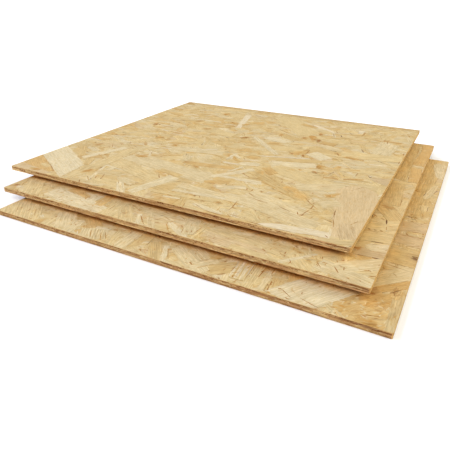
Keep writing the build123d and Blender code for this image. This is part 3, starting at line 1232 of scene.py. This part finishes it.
def strands_of_top(rng):
    """The uppermost board's recognisable strands, from its centre: x to the right, y to the back."""
    r, L, G, S = rng, laid, gap, spot
    return [
        # front left
        L(r, -340, -230, -228, -300, 46, "amber", figure=0.4, fleck=0.5),
        L(r, -300, -286, -215, -300, 20, "pink"),
        L(r, -262, -262, -236, -272, 10, "straw"),
        L(r, -345, -168, -187, -265, 54, "cream", skew1=-0.78, rag=1.0, figure=0.1, wave=0.2,
          soft=0.3),
        L(r, -189, -116, -222, -204, 15, "cream", rag=1.5),
        L(r, -206, -195, -189, -232, 13, "honey", taper0=8),
        L(r, -272, -148, -231, -197, 13, "honey"),
        L(r, -165, -118, -172, -290, 25, "straw", figure=0.7),
        L(r, -300, -92, -262, -96, 12, "amber"),
        S(r, -250, -131, 15, 11, 60, "rust"),
        S(r, -172, -26, 12, 10, 40, "deep"),
        S(r, -149, -30, 9, 7, 60, "rust"),
        L(r, -128, -46, -98, -37, 9, "amber"),
        S(r, -112, -59, 14, 8, -60, "deep"),
        L(r, -180, -66, -165, -86, 6, "rust", taper0=6, taper1=6, shade=0.03),
        L(r, -108, -74, -4, -57, 22, "pale", skew0=0.4),
        L(r, -50, -134, 62, -121, 15, "amber", rag=6, figure=0.5, taper0=20, taper1=20, soft=0.8),
        L(r, -152, -152, 38, -187, 42, "pale", skew1=-0.15, figure=0.8),
        S(r, -13, -144, 13, 5, -20, "deep"),
        S(r, -128, -145, 16, 8, 5, "deep"),
        S(r, -142, -143, 6, 7, 70, "rust"),
        S(r, -127, -106, 34, 8, -14, "dull"),
        L(r, -150, -190, -20, -236, 34, "straw", figure=0.5),
        S(r, -162, -252, 17, 12, 60, "deep"),
        L(r, -84, -264, -52, -302, 12, "cream", rag=2.5, figure=0.5),
        L(r, -17, -204, -43, -292, 25, "cream", width1=14, rag=2.5, figure=0.4),
        L(r, -60, -186, -10, -196, 12, "honey"),
        G(r, -148, -289, -139, -300, 3.4, depth=0.25, tone="brown"),
        S(r, -250, -290, 16, 8, 5, "deep"),
        G(r, -131, -246, -118, -272, 1.9),
        G(r, -134, -264, -129, -274, 2.2),
        G(r, -86, -265, -79, -274, 1.8),
        G(r, -249, -258, -212, -284, 1.6, tone="brown"),
        G(r, -36, -222, -47, -208, 2.2, tone="brown"),
        G(r, -190, -160, -200, -180, 1.5, tone="brown"),
        G(r, -214, -213, -206, -200, 1.6, tone="brown"),
        # front right
        L(r, 82, -44, 174, -12, 16, "honey", figure=0.4),
        L(r, 60, -36, 150, -5, 6, "white", wave=0.5, taper0=10, taper1=10),
        L(r, 99, -62, 175, -39, 24, "cream", rag=1.5, figure=0.25),
        L(r, 108, -80, 232, -128, 38, "straw", figure=0.5),
        L(r, 175, -150, 245, -110, 28, "pale", figure=0.4),
        L(r, 120, -202, 216, -240, 24, "pale", figure=0.5, skew1=0.5, shade=0.02),
        L(r, 64, -210, 107, -188, 13, "cream"),
        L(r, 34, -199, 76, -182, 12, "amber", rag=4, taper0=12, soft=0.8),
        L(r, 8, -230, 120, -240, 20, "pale", figure=0.5),
        L(r, 120, -232, 246, -268, 30, "pale", figure=0.35),
        L(r, 10, -252, 100, -243, 9, "cream"),
        L(r, -16, -271, 98, -258, 9, "straw", width1=8),
        S(r, 95, -260, 8, 6, 0, "rust"),
        L(r, 10, -279, 40, -277, 6, "cream", taper0=6, taper1=6),
        L(r, 64, -280, 120, -294, 10, "cream", taper0=10, taper1=10),
        L(r, 96, -88, 122, -112, 17, "amber"),
        L(r, 62, -103, 47, -142, 5, "cream", taper0=6, taper1=8),
        L(r, 84, -107, 36, -173, 13, "cream", rag=2, figure=0.3),
        L(r, 13, -56, 23, -77, 6, "white", taper0=6, taper1=5),
        L(r, 17, -97, 49, -97, 7, "white", taper0=6, taper1=6, bow=-1.5),
        L(r, 46, -90, 84, -82, 20, "cream", taper0=8, taper1=8),
        L(r, 86, -116, 201, -189, 24, "honey", figure=0.6, shade=-0.01, skew0=0.5, rag=4, wave=0.8, fleck=1.0,
          wild=True),
        S(r, 192, -180, 27, 17, -33, "amber"),
        S(r, 168, -163, 24, 11, -33, "amber"),
        S(r, 131, -128, 17, 8, -60, "honey"),
        S(r, 99, -117, 16, 8, -30, "amber"),
        L(r, 258, -98, 300, -290, 64, "blush", width1=56, rag=1.0, figure=0.06, shade=-0.035, wave=0.3,
          taper0=26),
        L(r, 268, -52, 316, -62, 30, "pink", taper0=30, figure=0.6, shade=-0.07),
        L(r, 227.3, -160.5, 244.1, -141.5, 8, "amber", taper1=12, rag=2),
        S(r, 232.3, -159, 13, 9, 20, "deep"),
        L(r, 228, -196, 252, -176, 22, "pale", figure=1.0),
        S(r, 180, -36, 16, 12, -50, "deep"),
        S(r, 178, -69, 9, 5, -60, "brown"),
        S(r, 154, -71, 8, 4, -50, "rust"),
        S(r, 192, -64, 8, 4, -60, "rust"),
        S(r, 213, -76, 9, 4, 30, "rust"),
        S(r, 140, -76, 13, 9, 20, "honey"),
        L(r, 260, -301, 314, -274, 18, "dull", taper0=12, figure=0.4),
        L(r, 254, -287, 292, -283, 5, "straw", taper0=8, taper1=10),
        L(r, 174, -294, 269, -281, 16, "white", taper0=34, rag=0.5, wave=0.8, figure=0.05,
          soft=0.2),
        L(r, 263, -262, 268, -279, 3, "cream", taper0=4, taper1=4),
        S(r, 217.2, -202.7, 10, 7, -30, "honey"),
        G(r, 202.3, -184.3, 221.6, -205.1, 1.5, depth=0.6),
        G(r, 221, -201.4, 220.8, -217.9, 2.4, depth=0.6),
        G(r, 221, -214.8, 216.6, -241.6, 1.5, depth=0.5),
        G(r, 207.3, -211.1, 218.9, -216.7, 1.1, tone="rust"),
        S(r, 216.4, -241.4, 5, 3, 40, "brown"),
        G(r, 253.1, -202.3, 258.3, -232.3, 1.3, depth=0.7),
        G(r, 257.3, -228.3, 267.9, -264.5, 1.1, depth=0.4, tone="deep"),
        G(r, 292.4, -218.8, 284.3, -237, 0.7, depth=0.3, tone="deep"),
        G(r, 285, -234.6, 278, -255.7, 1.0, depth=0.3, tone="deep"),
        G(r, 277.5, -255.9, 281, -274.4, 0.8, depth=0.3, tone="deep"),
        L(r, 276.5, -252.6, 280.1, -241.4, 3, "cream", taper0=2, taper1=3),
        G(r, 64, -279, 92, -293, 1.5, tone="brown"),
        G(r, 86, -293, 128, -296.5, 2.6),
        G(r, 128, -287, 148, -289, 1.4, tone="brown"),
        G(r, 150, -294, 184, -297, 2.2, tone="brown"),
        G(r, 117, -240, 121, -280, 1.4, tone="brown", bow=1.5),
        G(r, 119, -206, 134, -216, 1.8, tone="brown"),
        G(r, 121, -221, 167, -228, 2.2, tone="brown"),
        G(r, 178, -229, 202, -241, 2.4, tone="brown"),
        G(r, 190, -282, 204, -278, 1.8, tone="brown"),
        G(r, 262, -283, 268, -288, 2.6),
        G(r, 119, -189, 120, -198, 3.0, tone="brown"),
        G(r, 109, -190, 112, -197, 2.0, tone="brown"),
        G(r, 208, -234, 212, -243, 2.0, tone="brown"),
        G(r, 19, -104, 42, -109, 2.4, tone="brown"),
        G(r, 38, -56, 50, -72, 1.6, tone="brown"),
        G(r, 146, -130, 148, -146, 1.4, tone="brown"),
        G(r, 272, -88, 246, -132, 1.0, tone="rust", bow=2),
        # back left
        L(r, -90, 240, -61, 121, 16, "white", width1=12, rag=1.5, figure=0.05, soft=0.2, shade=0.03),
        L(r, -150, 250, -130, 200, 12, "straw"),
        S(r, -142, 221, 17, 11, -20, "deep"),
        S(r, -87, 152, 17, 10, 10, "deep"),
        S(r, -57, 158, 14, 9, 60, "deep"),
        S(r, -244, 60, 18, 8, -65, "brown"),
        S(r, -12, 61, 14, 10, 30, "brown"),
        S(r, -166, 134, 14, 10, 30, "rust"),
        S(r, -248, 162, 32, 11, -8, "amber"),
        S(r, -194, 188, 26, 10, -70, "honey"),
        S(r, -162, 106, 14, 9, -10, "amber"),
        L(r, -140, 82, -40, 60, 26, "straw", figure=0.4),
        S(r, -117, 79, 16, 9, 20, "deep"),
        L(r, -264, 205, -300, 214, 14, "amber", taper1=10, shade=-0.03),
        # back right
        L(r, -4, 266, 100, 143, 54, "straw", rag=2, figure=0.1, wave=0.5),
        L(r, 54, 222, 96, 208, 13, "amber"),
        L(r, 104, 142, 122, 112, 15, "deep", taper0=6, shade=0.04),
        S(r, 124, 116, 19, 8, -62, "brown"),
        S(r, 98, 117, 13, 9, 70, "brown"),
        L(r, 134, 105, 168, 98, 19, "amber", rag=3, shade=-0.06),
        L(r, 0, 76, 88, -14, 11, "cream", rag=2, figure=0.3, taper0=10, shade=-0.02),
        S(r, 46, 115, 14, 7, -38, "deep"),
        L(r, 25, 82, 77, 70, 20, "cream", skew1=0.4, rag=1),
        L(r, 44, 50, 64, 56, 12, "amber"),
        L(r, 110, 4, 138, 38, 20, "amber", rag=4, fleck=1.0),
        S(r, 109, 6, 9, 6, 60, "brown"),
        S(r, 134, 6, 13, 7, -50, "brown"),
        L(r, 140, 40, 300, 70, 36, "straw", figure=0.3),
        L(r, 130, 46, 190, 62, 34, "honey", figure=0.3),
        L(r, 140, 28, 178, 4, 30, "cream", figure=0.2),
        L(r, 80, 228, 138, 190, 10, "white", taper0=10, taper1=8, figure=0.1, shade=0.05),
        L(r, 137, 188, 152, 150, 5, "cream", taper0=8, taper1=8),
        L(r, 190, 232, 190, 206, 11, "white"),
        L(r, 262, 160, 256, 78, 38, "pale", rag=4, figure=0.3),
        L(r, 17, -86, 18, -42, 7, "cream", rag=2, taper0=10, taper1=8, shade=0.02),
        L(r, 20, -52, 38, -68, 7, "cream", rag=2, taper1=8),
        L(r, -218, 84, -166, 66, 24, "pale", rag=5, figure=0.5, soft=1.0, taper0=14, taper1=14),
        L(r, 52, 114, 98, 96, 22, "honey", rag=5, figure=0.5, soft=1.0, taper0=14, taper1=14),
        L(r, -100, -250, -56, -263, 18, "pale", rag=4, figure=0.5, soft=1.0, taper0=14),
        L(r, 138, 84, 192, 66, 22, "pale", rag=5, figure=0.5, soft=1.0, taper0=14, taper1=14),
        L(r, 204, 21, 250, 8, 22, "pale", rag=4, figure=0.4, soft=1.0, taper0=12, taper1=12),
        L(r, -160, 202, -110, 189, 20, "pale", rag=4, figure=0.5, soft=1.0, taper0=12),
        L(r, -304, 143, -268, 126, 24, "honey", rag=4, figure=0.5, soft=1.0, taper1=12),
        L(r, 274, -238, 293, -282, 24, "pink", rag=3, figure=0.4, soft=1.0, shade=-0.03,
          taper0=12),
        S(r, 110, 264, 16, 9, -30, "amber"),
        S(r, 186, 46, 15, 7, -55, "amber"),
        S(r, 222, 34, 22, 8, -15, "deep"),
        S(r, 118, 160, 13, 7, -80, "brown"),
        G(r, 26, 155, 56, 134, 3.0, tone="brown"),
        G(r, 138, 186, 149, 156, 2.2, tone="brown"),
        G(r, 157, 176, 164, 162, 4.0, tone="dark"),
        G(r, 140, 202, 146, 190, 4.0, tone="brown"),
        G(r, 200, 224, 198, 190, 4.0, tone="brown"),
        G(r, 248, 188, 246, 172, 3.0, tone="brown"),
        G(r, 254, 172, 256, 158, 3.0, tone="brown"),
        G(r, 133, 48, 134, 16, 2.2, tone="brown"),
        G(r, 182, 54, 192, 36, 3.0, tone="brown"),
        G(r, 296, 112, 297, 96, 3.0, tone="brown"),
        G(r, 296, 58, 297, 44, 3.0, tone="brown"),
    ]


def strands_of_middle(rng):
    """What shows of the middle board, along its front and right margins."""
    r, L, G, S = rng, laid, gap, spot
    return [
        L(r, -306, -230, -286, -300, 18, "honey", shade=-0.09),
        S(r, -290, -283, 11, 9, 60, "brown"),
        S(r, -279, -285, 14, 10, 0, "white"),
        L(r, -280, -240, -236, -304, 30, "straw", figure=0.6),
        L(r, -196, -251, -148, -265, 18, "amber"),
        L(r, -218, -271, -96, -293, 33, "cream", figure=0.2, rag=1.5),
        L(r, -136, -236, -137, -274, 19, "cream", figure=0.2),
        L(r, -118, -240, -113, -279, 18, "amber", width1=14, shade=0.06),
        L(r, -86, -238, -80, -304, 26, "straw", figure=1.0),
        L(r, -72, -262, -40, -304, 22, "dull"),
        G(r, -151, -263, -146, -271, 2.0, depth=0.25, tone="deep"),
        G(r, -90, -262, -88, -290, 1.1, tone="brown"),
        G(r, -82, -266, -80, -292, 1.0, tone="rust"),
        L(r, -38, -271, -22, -300, 7, "cream"),
        G(r, -35, -274, -13, -296, 2.2, tone="brown"),
        L(r, -26, -262, 6, -304, 10, "pale", figure=0.9),
        L(r, 14, -272, 58, -300, 10, "cream", taper0=6, wave=0.3),
        G(r, 12, -277, 32, -299, 1.6, depth=0.25, tone="deep"),
        L(r, 40, -246, 58, -292, 20, "pale", figure=0.7),
        L(r, 67, -248, 67, -303, 4.5, "straw"),
        G(r, 63, -250, 62.5, -300, 1.6, tone="rust"),
        L(r, 72, -256, 190, -270, 28, "dull", figure=0.3),
        L(r, 74, -280, 168, -290, 22, "pink", figure=0.5),
        L(r, 106, -256, 138, -250, 9, "pale", taper0=8, taper1=8),
        S(r, 80, -293, 9, 12, 70, "honey"),
        G(r, 110, -262, 140, -259, 1.3, tone="rust"),
        L(r, 120, -292, 210, -300, 14, "straw", figure=0.4),
        G(r, 160, -277, 166, -281, 3.0, tone="brown"),
        G(r, 182, -276, 190, -280, 2.4, tone="rust"),
        L(r, 204, -268, 232, -300, 30, "straw", figure=0.5),
        S(r, 221, -275, 18, 11, 0, "honey"),
        G(r, 214, -278, 228, -271, 2.2, tone="brown"),
        L(r, 226, -256, 190, -297, 6, "cream", taper0=10),
        G(r, 202, -284, 202, -298, 1.8, tone="brown"),
        L(r, 232, -276, 306, -296, 26, "pale", figure=0.5),
        L(r, 250, -278, 316, -230, 25, "pale", figure=0.2, taper0=14),
        L(r, 276, -274, 306, -264, 12, "straw", taper0=16),
        bits(r, 150, -300, 300, -262, 16, ("brown", "deep"), (2, 6), (0.7, 1.4)),
        G(r, 252, -274, 261, -288, 2.0, tone="brown"),
        G(r, 262, -270, 264, -278, 1.4, tone="brown"),
        L(r, 268, 40, 276, -60, 30, "honey", figure=0.3),
        L(r, 262, -60, 300, -118, 26, "honey", figure=0.4),
        S(r, 277, -67, 21, 9, -25, "rust"),
        L(r, 294, -30, 296, -84, 10, "straw"),
        L(r, 262, -150, 306, -120, 28, "straw", figure=0.3),
        G(r, 281.2, -113.4, 284.2, -129.5, 2.2, depth=0.5, tone="dark"),
        G(r, 285.1, -134.9, 288.3, -153.7, 1.3, tone="deep"),
        G(r, 260.5, -103.7, 267.8, -110, 2.6, tone="brown"),
        G(r, 272.1, -111.8, 279.8, -115.6, 2.6, tone="brown"),
        G(r, 261.7, -153.3, 269, -155.4, 3.0, tone="brown"),
        G(r, 271.1, -153.2, 276.5, -155.3, 2.4, tone="brown"),
        G(r, 278.8, -151.9, 284.6, -154.1, 2.4, tone="brown"),
        S(r, 264.1, -215.4, 9, 7, 60, "brown"),
        G(r, 264, -106, 262, -118, 2.6, tone="rust"),
        L(r, 256, -178, 306, -168, 32, "straw", figure=0.3, shade=-0.01),
        L(r, 262, -224, 306, -218, 20, "pink", figure=0.3, shade=-0.08),
        L(r, 272, -208, 312, -196, 21, "cream", taper0=10, figure=0.15),
        G(r, 276, -199, 290, -192, 1.8, tone="brown"),
        S(r, 265, -217, 9, 8, 70, "brown"),
        L(r, 262, 300, 268, 60, 26, "honey", figure=0.4, rag=5, fleck=0.6),
        L(r, 288, 302, 292, 236, 20, "amber"),
        L(r, 292, 240, 287, 150, 20, "amber"),
        L(r, 288, 134, 293, 56, 18, "amber", shade=0.02),
    ]


def strands_of_bottom(rng):
    """What shows of the lowest board, along its front and right margins."""
    r, L, G, S = rng, laid, gap, spot
    return [
        L(r, -326, -238, -250, -322, 56, "straw", figure=1.0),
        L(r, -262, -252, -222, -300, 22, "straw", figure=1.0),
        G(r, -252, -262, -228, -292, 1.4, tone="rust"),
        G(r, -290, -264, -262, -298, 1.0, tone="rust"),
        S(r, -210, -291, 15, 10, 80, "amber"),
        S(r, -221, -280, 9, 6, -40, "cream"),
        L(r, -204, -262, -196, -304, 14, "straw"),
        L(r, -196, -250, -164, -292, 30, "pale", figure=0.4, shade=0.05),
        L(r, -160, -262, -150, -304, 18, "pale", figure=0.3),
        L(r, -150, -248, -122, -270, 22, "amber"),
        L(r, -142, -272, -118, -290, 12, "amber", shade=-0.08),
        L(r, -122, -270, -104, -300, 40, "pale", figure=1.0),
        L(r, -123, -269, -99, -262, 7, "cream"),
        G(r, -126, -275, -106, -300, 1.6, tone="deep"),
        G(r, -119, -274, -99, -298, 1.3, tone="rust"),
        G(r, -111, -271, -90, -297, 1.6, tone="deep"),
        G(r, -103, -270, -84, -294, 1.3, tone="rust"),
        L(r, -84, -262, -74, -304, 12, "straw"),
        L(r, -60, -250, -58, -304, 20, "pale", figure=0.3),
        L(r, -40, -248, -36, -284, 20, "honey"),
        S(r, -27, -277, 14, 11, 30, "cream"),
        L(r, -22, -262, 8, -304, 18, "honey", figure=0.9),
        L(r, -2, -262, 18, -304, 8, "cream"),
        G(r, 3, -267, 20, -292, 1.7, tone="rust"),
        L(r, 18, -250, 78, -292, 40, "pale", figure=0.3),
        G(r, 22, -269, 47, -293, 1.3, tone="rust"),
        L(r, 52, -294, 76, -262, 14, "pale", figure=0.6),
        L(r, 78, -288, 108, -262, 24, "honey"),
        S(r, 72, -256, 14, 10, 30, "amber"),
        L(r, 112, -244, 118, -290, 24, "straw", figure=0.5),
        L(r, 102, -246, 107, -289, 4.2, "cream", figure=0.2, taper1=8),
        L(r, 109, -246, 114, -290, 4.2, "white", figure=0.2, taper1=8),
        L(r, 116, -246, 121, -290, 4.2, "cream", figure=0.2, taper1=8),
        L(r, 123, -246, 127, -288, 3.6, "white", figure=0.2, taper1=8),
        G(r, 106, -252, 111, -289, 1.1, depth=0.2, tone="amber"),
        G(r, 113, -250, 118, -290, 1.1, depth=0.2, tone="amber"),
        G(r, 120, -250, 124, -288, 1.1, depth=0.2, tone="amber"),
        L(r, 130, -244, 134, -304, 14, "straw", figure=0.7),
        L(r, 148, -246, 150, -296, 8, "pale"),
        G(r, 149, -246, 150, -262, 1.6, depth=0.3, tone="deep"),
        L(r, 160, -246, 166, -300, 14, "honey"),
        G(r, 158, -268, 162, -286, 1.1, depth=0.2, tone="rust"),
        L(r, 176, -244, 182, -262, 18, "amber", shade=0.06),
        L(r, 252, -300, 300, -240, 70, "amber", figure=0.15, fleck=1.0),
        bits(r, 232, -298, 290, -246, 42, ("cream", "pale", "straw"), (1.8, 6), (1.2, 3.2)),
        bits(r, 240, -298, 290, -246, 16, ("deep", "rust"), (3, 9), (1.5, 4)),
        S(r, 272, -290, 22, 14, 20, "deep"),
        S(r, 262, -257, 14, 9, 40, "rust"),
        L(r, 244, -210, 184, -300, 54, "cream", rag=1.0, figure=0.2, skew1=-0.5),
        G(r, 170, -281, 194, -297, 1.6, tone="brown"),
        G(r, 192, -287, 223, -297, 1.5, tone="brown"),
        G(r, 254, -248, 250, -256, 3.0, tone="brown"),
        L(r, 294, -214, 297, -304, 14, "dull", figure=0.3, fleck=0.8, rag=5, soft=1.0, shade=-0.05),
        L(r, 274, 306, 276, -6, 30, "honey", figure=0.3, rag=6, fleck=0.7, shade=0.02),
        bits(r, 262, -110, 300, 60, 20, ("deep", "brown", "cream"), (3, 9), (0.8, 2)),
        L(r, 284, 278, 301, 184, 25, "cream", taper0=16, taper1=16, figure=0.2),
        L(r, 293, 150, 282, 74, 11, "pale", taper0=14, taper1=14),
        S(r, 264, 106, 12, 5, 70, "deep"),
        L(r, 284, 50, 287, 22, 11, "straw", soft=1.0, rag=5, shade=0.03),
        L(r, 256, -46, 306, -36, 34, "pink", figure=0.3),
        G(r, 262, -16, 298, -36, 1.3, depth=0.25, tone="rust"),
        G(r, 270, -62, 299, -42, 1.2, tone="rust"),
        L(r, 256, -84, 306, -90, 30, "pink", figure=0.6),
        G(r, 268, -76, 299, -71, 2.4, tone="brown"),
        G(r, 262, -113, 299, -98, 1.4, tone="rust"),
        L(r, 256, -134, 306, -136, 50, "honey", figure=0.7),
        S(r, 295.5, -133, 14, 8, -8, "dark"),
        L(r, 262, -222, 306, -172, 40, "pale", figure=0.15),
        G(r, 268, -165, 299, -171.5, 1.8, tone="brown"),
        G(r, 278, -184, 284, -190, 1.6, tone="rust"),
        L(r, 262, -236, 304, -196, 13, "amber", fleck=1.0),
        S(r, 267, -236, 13, 11, 60, "brown"),
        S(r, 292, -226, 15, 8, 70, "rust"),
    ]


# ---- the pieces -----------------------------------------------------------------------------

lay = {"panel_top": strands_of_top, "panel_middle": strands_of_middle,
       "panel_bottom": strands_of_bottom}
turns = {"panel_top": 0.0, "panel_middle": -0.12, "panel_bottom": -0.18}
# where the board above ends, in each board's own frame: its front and its right edge
covers = {"panel_top": None, "panel_middle": (-250.0, 262.9), "panel_bottom": (-255.9, 265.0)}
UNDERSIDE = (("honey", 0.45), ("amber", 0.3), ("dull", 0.1), ("straw", 0.15))
for seed, (node, heroes) in enumerate(lay.items(), start=1):
    began = time.perf_counter()
    lo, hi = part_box(node)
    centre = ((lo + hi) / 2) * 1000
    rng = np.random.default_rng(4100 + seed)
    base = [Strand(rng, 0, 0, 0, 1400, 1400, "honey", rag=0, depth=0.75, key=0.0)]
    loose = scattered(rng, 300)
    chips = bits(rng, -300, -300, 300, 300, 240,
                 ("cream", "pale", "white"), (3.0, 11.0), (0.9, 2.6), soft=0.3)
    chips += bits(rng, -300, -300, 300, 300, 420,
                  ("amber", "deep", "rust", "brown"), (1.8, 8.0), (0.7, 1.8), soft=0.4)
    if node == "panel_top":  # seen from far: fewer small marks at the back, and larger ones
        chips = [s for s in chips if s.y < -40 or rng.random() < 0.45]
        chips += bits(rng, -292, -110, 292, 292, 130, ("amber", "honey", "amber", "dull", "deep"),
                      (12, 46), (2.4, 6.6), turn=12, soft=0.9)
        chips += bits(rng, -292, -110, 292, 292, 90, ("cream", "pale", "white"), (12, 44),
                      (2.4, 6.4), turn=12, soft=0.7)
    chips += crevices(rng, loose, 300, 850)
    if covers[node]:  # fewer small things where the board above hides them
        front, right = covers[node]
        chips = [s for s in chips if s.y < front + 20 or s.x > right - 12 or rng.random() < 0.4]
    up = base + loose + chips
    known = []
    for hero in heroes(rng):
        known += hero if isinstance(hero, list) else [hero]
    up += known
    wide = [s for s in known if s.key is None and min(s.w0, s.w1) > 8 and s.length > 25]
    up += crevices(rng, wide, 300, 60)
    dots = ("amber", "deep", "rust", "brown", "pale", "cream")
    if node == "panel_top":
        up += bits(rng, -300, -300, 300, 0, 150, dots, (1.5, 6.0), (0.6, 1.5), soft=0.4)
    else:
        up += bits(rng, -300, -300, 300, -245, 300, dots, (1.5, 7.0), (0.6, 1.7), soft=0.4)
        up += bits(rng, 255, -250, 300, 300, 80, ("amber", "deep", "honey", "pale", "cream"),
                   (1.5, 7.0), (0.6, 1.7), soft=0.4)
    base = [Strand(rng, 0, 0, 0, 1400, 1400, "honey", rag=0, depth=0.75, key=0.0)]
    loose = scattered(rng, 300, many=0.6, fine=0.3, mix=UNDERSIDE)
    down = base + loose + crevices(rng, loose, 300, 110)
    board = Board(node + "_wood", 600.0, 1.6, up, down, rng, lowest=node == "panel_bottom",
                  cover=covers[node])
    me = board.mesh((centre.x, centre.y, lo.z * 1000), math.radians(turns[node]))
    ob = bpy.data.objects.new(node + "_wood", me)
    bpy.context.scene.collection.objects.link(ob)
    me.materials.append(FACE_WOOD)
    me.materials.append(CUT_WOOD)
    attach(ob, "root")
    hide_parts(node)
    print("BOARD", node, "faces", len(me.polygons), board.stats,
          "s", round(time.perf_counter() - began, 1), flush=True)

# the offcuts between the boards
spacer_turns = {"upper": (1.4, -2.1, 0.8, 2.6), "lower": (-1.1, 1.9, 3.0, -0.7)}
for level, angles in spacer_turns.items():
    for number, angle in enumerate(angles, start=1):
        node = f"spacer_{level}_{number}"
        lo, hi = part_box(node)
        centre = ((lo + hi) / 2) * 1000
        rng = np.random.default_rng(7000 + number + (10 if level == "upper" else 0))
        faces = []
        for _ in range(2):
            base = [Strand(rng, 0, 0, 0, 300, 300, "honey", rag=0, depth=0.5, key=0.0)]
            found = []
            for _ in range(26):
                w = rng.uniform(5, 24)
                found.append(Strand(rng, rng.uniform(-32, 32), rng.uniform(-32, 32),
                                    random_turn(rng), rng.uniform(30, 90), w, random_tone(rng),
                                    rag=2, skew0=rng.normal(0, 0.2), skew1=rng.normal(0, 0.2)))
            faces.append(base + found)
        board = Board(node + "_wood", 50.0, 1.0, faces[0], faces[1], rng, pitch=0.4, grid=10.0,
                      side_many=1.3)
        me = board.mesh((centre.x, centre.y, lo.z * 1000), math.radians(angle))
        ob = bpy.data.objects.new(node + "_wood", me)
        bpy.context.scene.collection.objects.link(ob)
        me.materials.append(FACE_WOOD)
        me.materials.append(CUT_WOOD)
        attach(ob, "root")
        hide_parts(node)

# ---- studio -----------------------------------------------------------------------------------


def pale_floor():
    m = Nodes("pale_floor")
    place = m.node("ShaderNodeTexCoord").outputs["Object"]
    mottle = m.noise(place, scale=3.0, detail=2.0)
    m.put(m.bsdf.inputs["Base Color"],
          m.mix(mottle, (0.915, 0.930, 0.975, 1), (0.930, 0.945, 0.985, 1)))
    m.bsdf.inputs["Roughness"].default_value = 0.9
    m.bsdf.inputs["Specular IOR Level"].default_value = 0.1
    return m.mat


me = bpy.data.meshes.new("floor")
steps = [-40, -8, -2, -0.6, 0.6, 2, 8, 40]
verts = [(x, y, 0.0) for y in steps for x in steps]
n = len(steps)
me.from_pydata(verts, [], [(j * n + i, j * n + i + 1, (j + 1) * n + i + 1, (j + 1) * n + i)
                           for j in range(n - 1) for i in range(n - 1)])
floor = bpy.data.objects.new("floor", me)
me.materials.append(pale_floor())
bpy.context.scene.collection.objects.link(floor)

world = bpy.data.worlds.new("studio")
bpy.context.scene.world = world
world.use_nodes = True
world.node_tree.nodes["Background"].inputs[0].default_value = (1.0, 1.0, 0.96, 1)
world.node_tree.nodes["Background"].inputs[1].default_value = 0.232


def lamp(name, azimuth, elevation, strength, colour):
    """A large, soft light far off: 1.0 is what alone would show a white card facing it as white."""
    light = bpy.data.lights.new(name, "SUN")
    light.energy, light.angle, light.color = strength * math.pi, math.radians(32), colour
    a, e = math.radians(azimuth), math.radians(elevation)
    towards = Vector((math.cos(a) * math.cos(e), math.sin(a) * math.cos(e), math.sin(e)))
    ob = bpy.data.objects.new(name, light)
    ob.rotation_mode = "QUATERNION"
    ob.rotation_quaternion = towards.to_track_quat("Z", "Y")
    bpy.context.scene.collection.objects.link(ob)


lamp("softbox_back_right", 45, 35, 0.580, (1.03, 1.01, 0.92))
lamp("softbox_left", 180, 35, 0.625, (0.95, 1.02, 1.29))
lamp("fill_front_left", 225, 35, 0.171, (1.02, 1.0, 0.90))
lamp("top_front", 270, 55, 0.366, (1.02, 1.01, 0.87))
lamp("fill_front_right", 315, 35, 0.183, (1.20, 0.98, 0.76))

data = bpy.data.cameras.new("camera")
data.sensor_width, data.sensor_fit = 36.0, "HORIZONTAL"
data.lens = 460.76 * 36.0 / 450
data.shift_x = (225 - 213.32) / 450
data.clip_start, data.clip_end = 0.01, 200
camera = bpy.data.objects.new("camera", data)
yaw, pitch = math.radians(-29.16), math.radians(26.99)
ahead = Vector((math.sin(yaw) * math.cos(pitch), math.cos(yaw) * math.cos(pitch), -math.sin(pitch)))
side = Vector((math.cos(yaw), -math.sin(yaw), 0))
above = side.cross(ahead)
camera.matrix_world = Matrix((
    (side.x, above.x, -ahead.x, 0.35308),
    (side.y, above.y, -ahead.y, -0.75398),
    (side.z, above.z, -ahead.z, 0.31630),
    (0, 0, 0, 1)))
bpy.context.scene.collection.objects.link(camera)
bpy.context.scene.camera = camera
bpy.context.scene.view_settings.view_transform = "Standard"
bpy.context.scene.view_settings.look = "None"

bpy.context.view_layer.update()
print("MADE IN", round(time.perf_counter() - STARTED, 1), "s", flush=True)
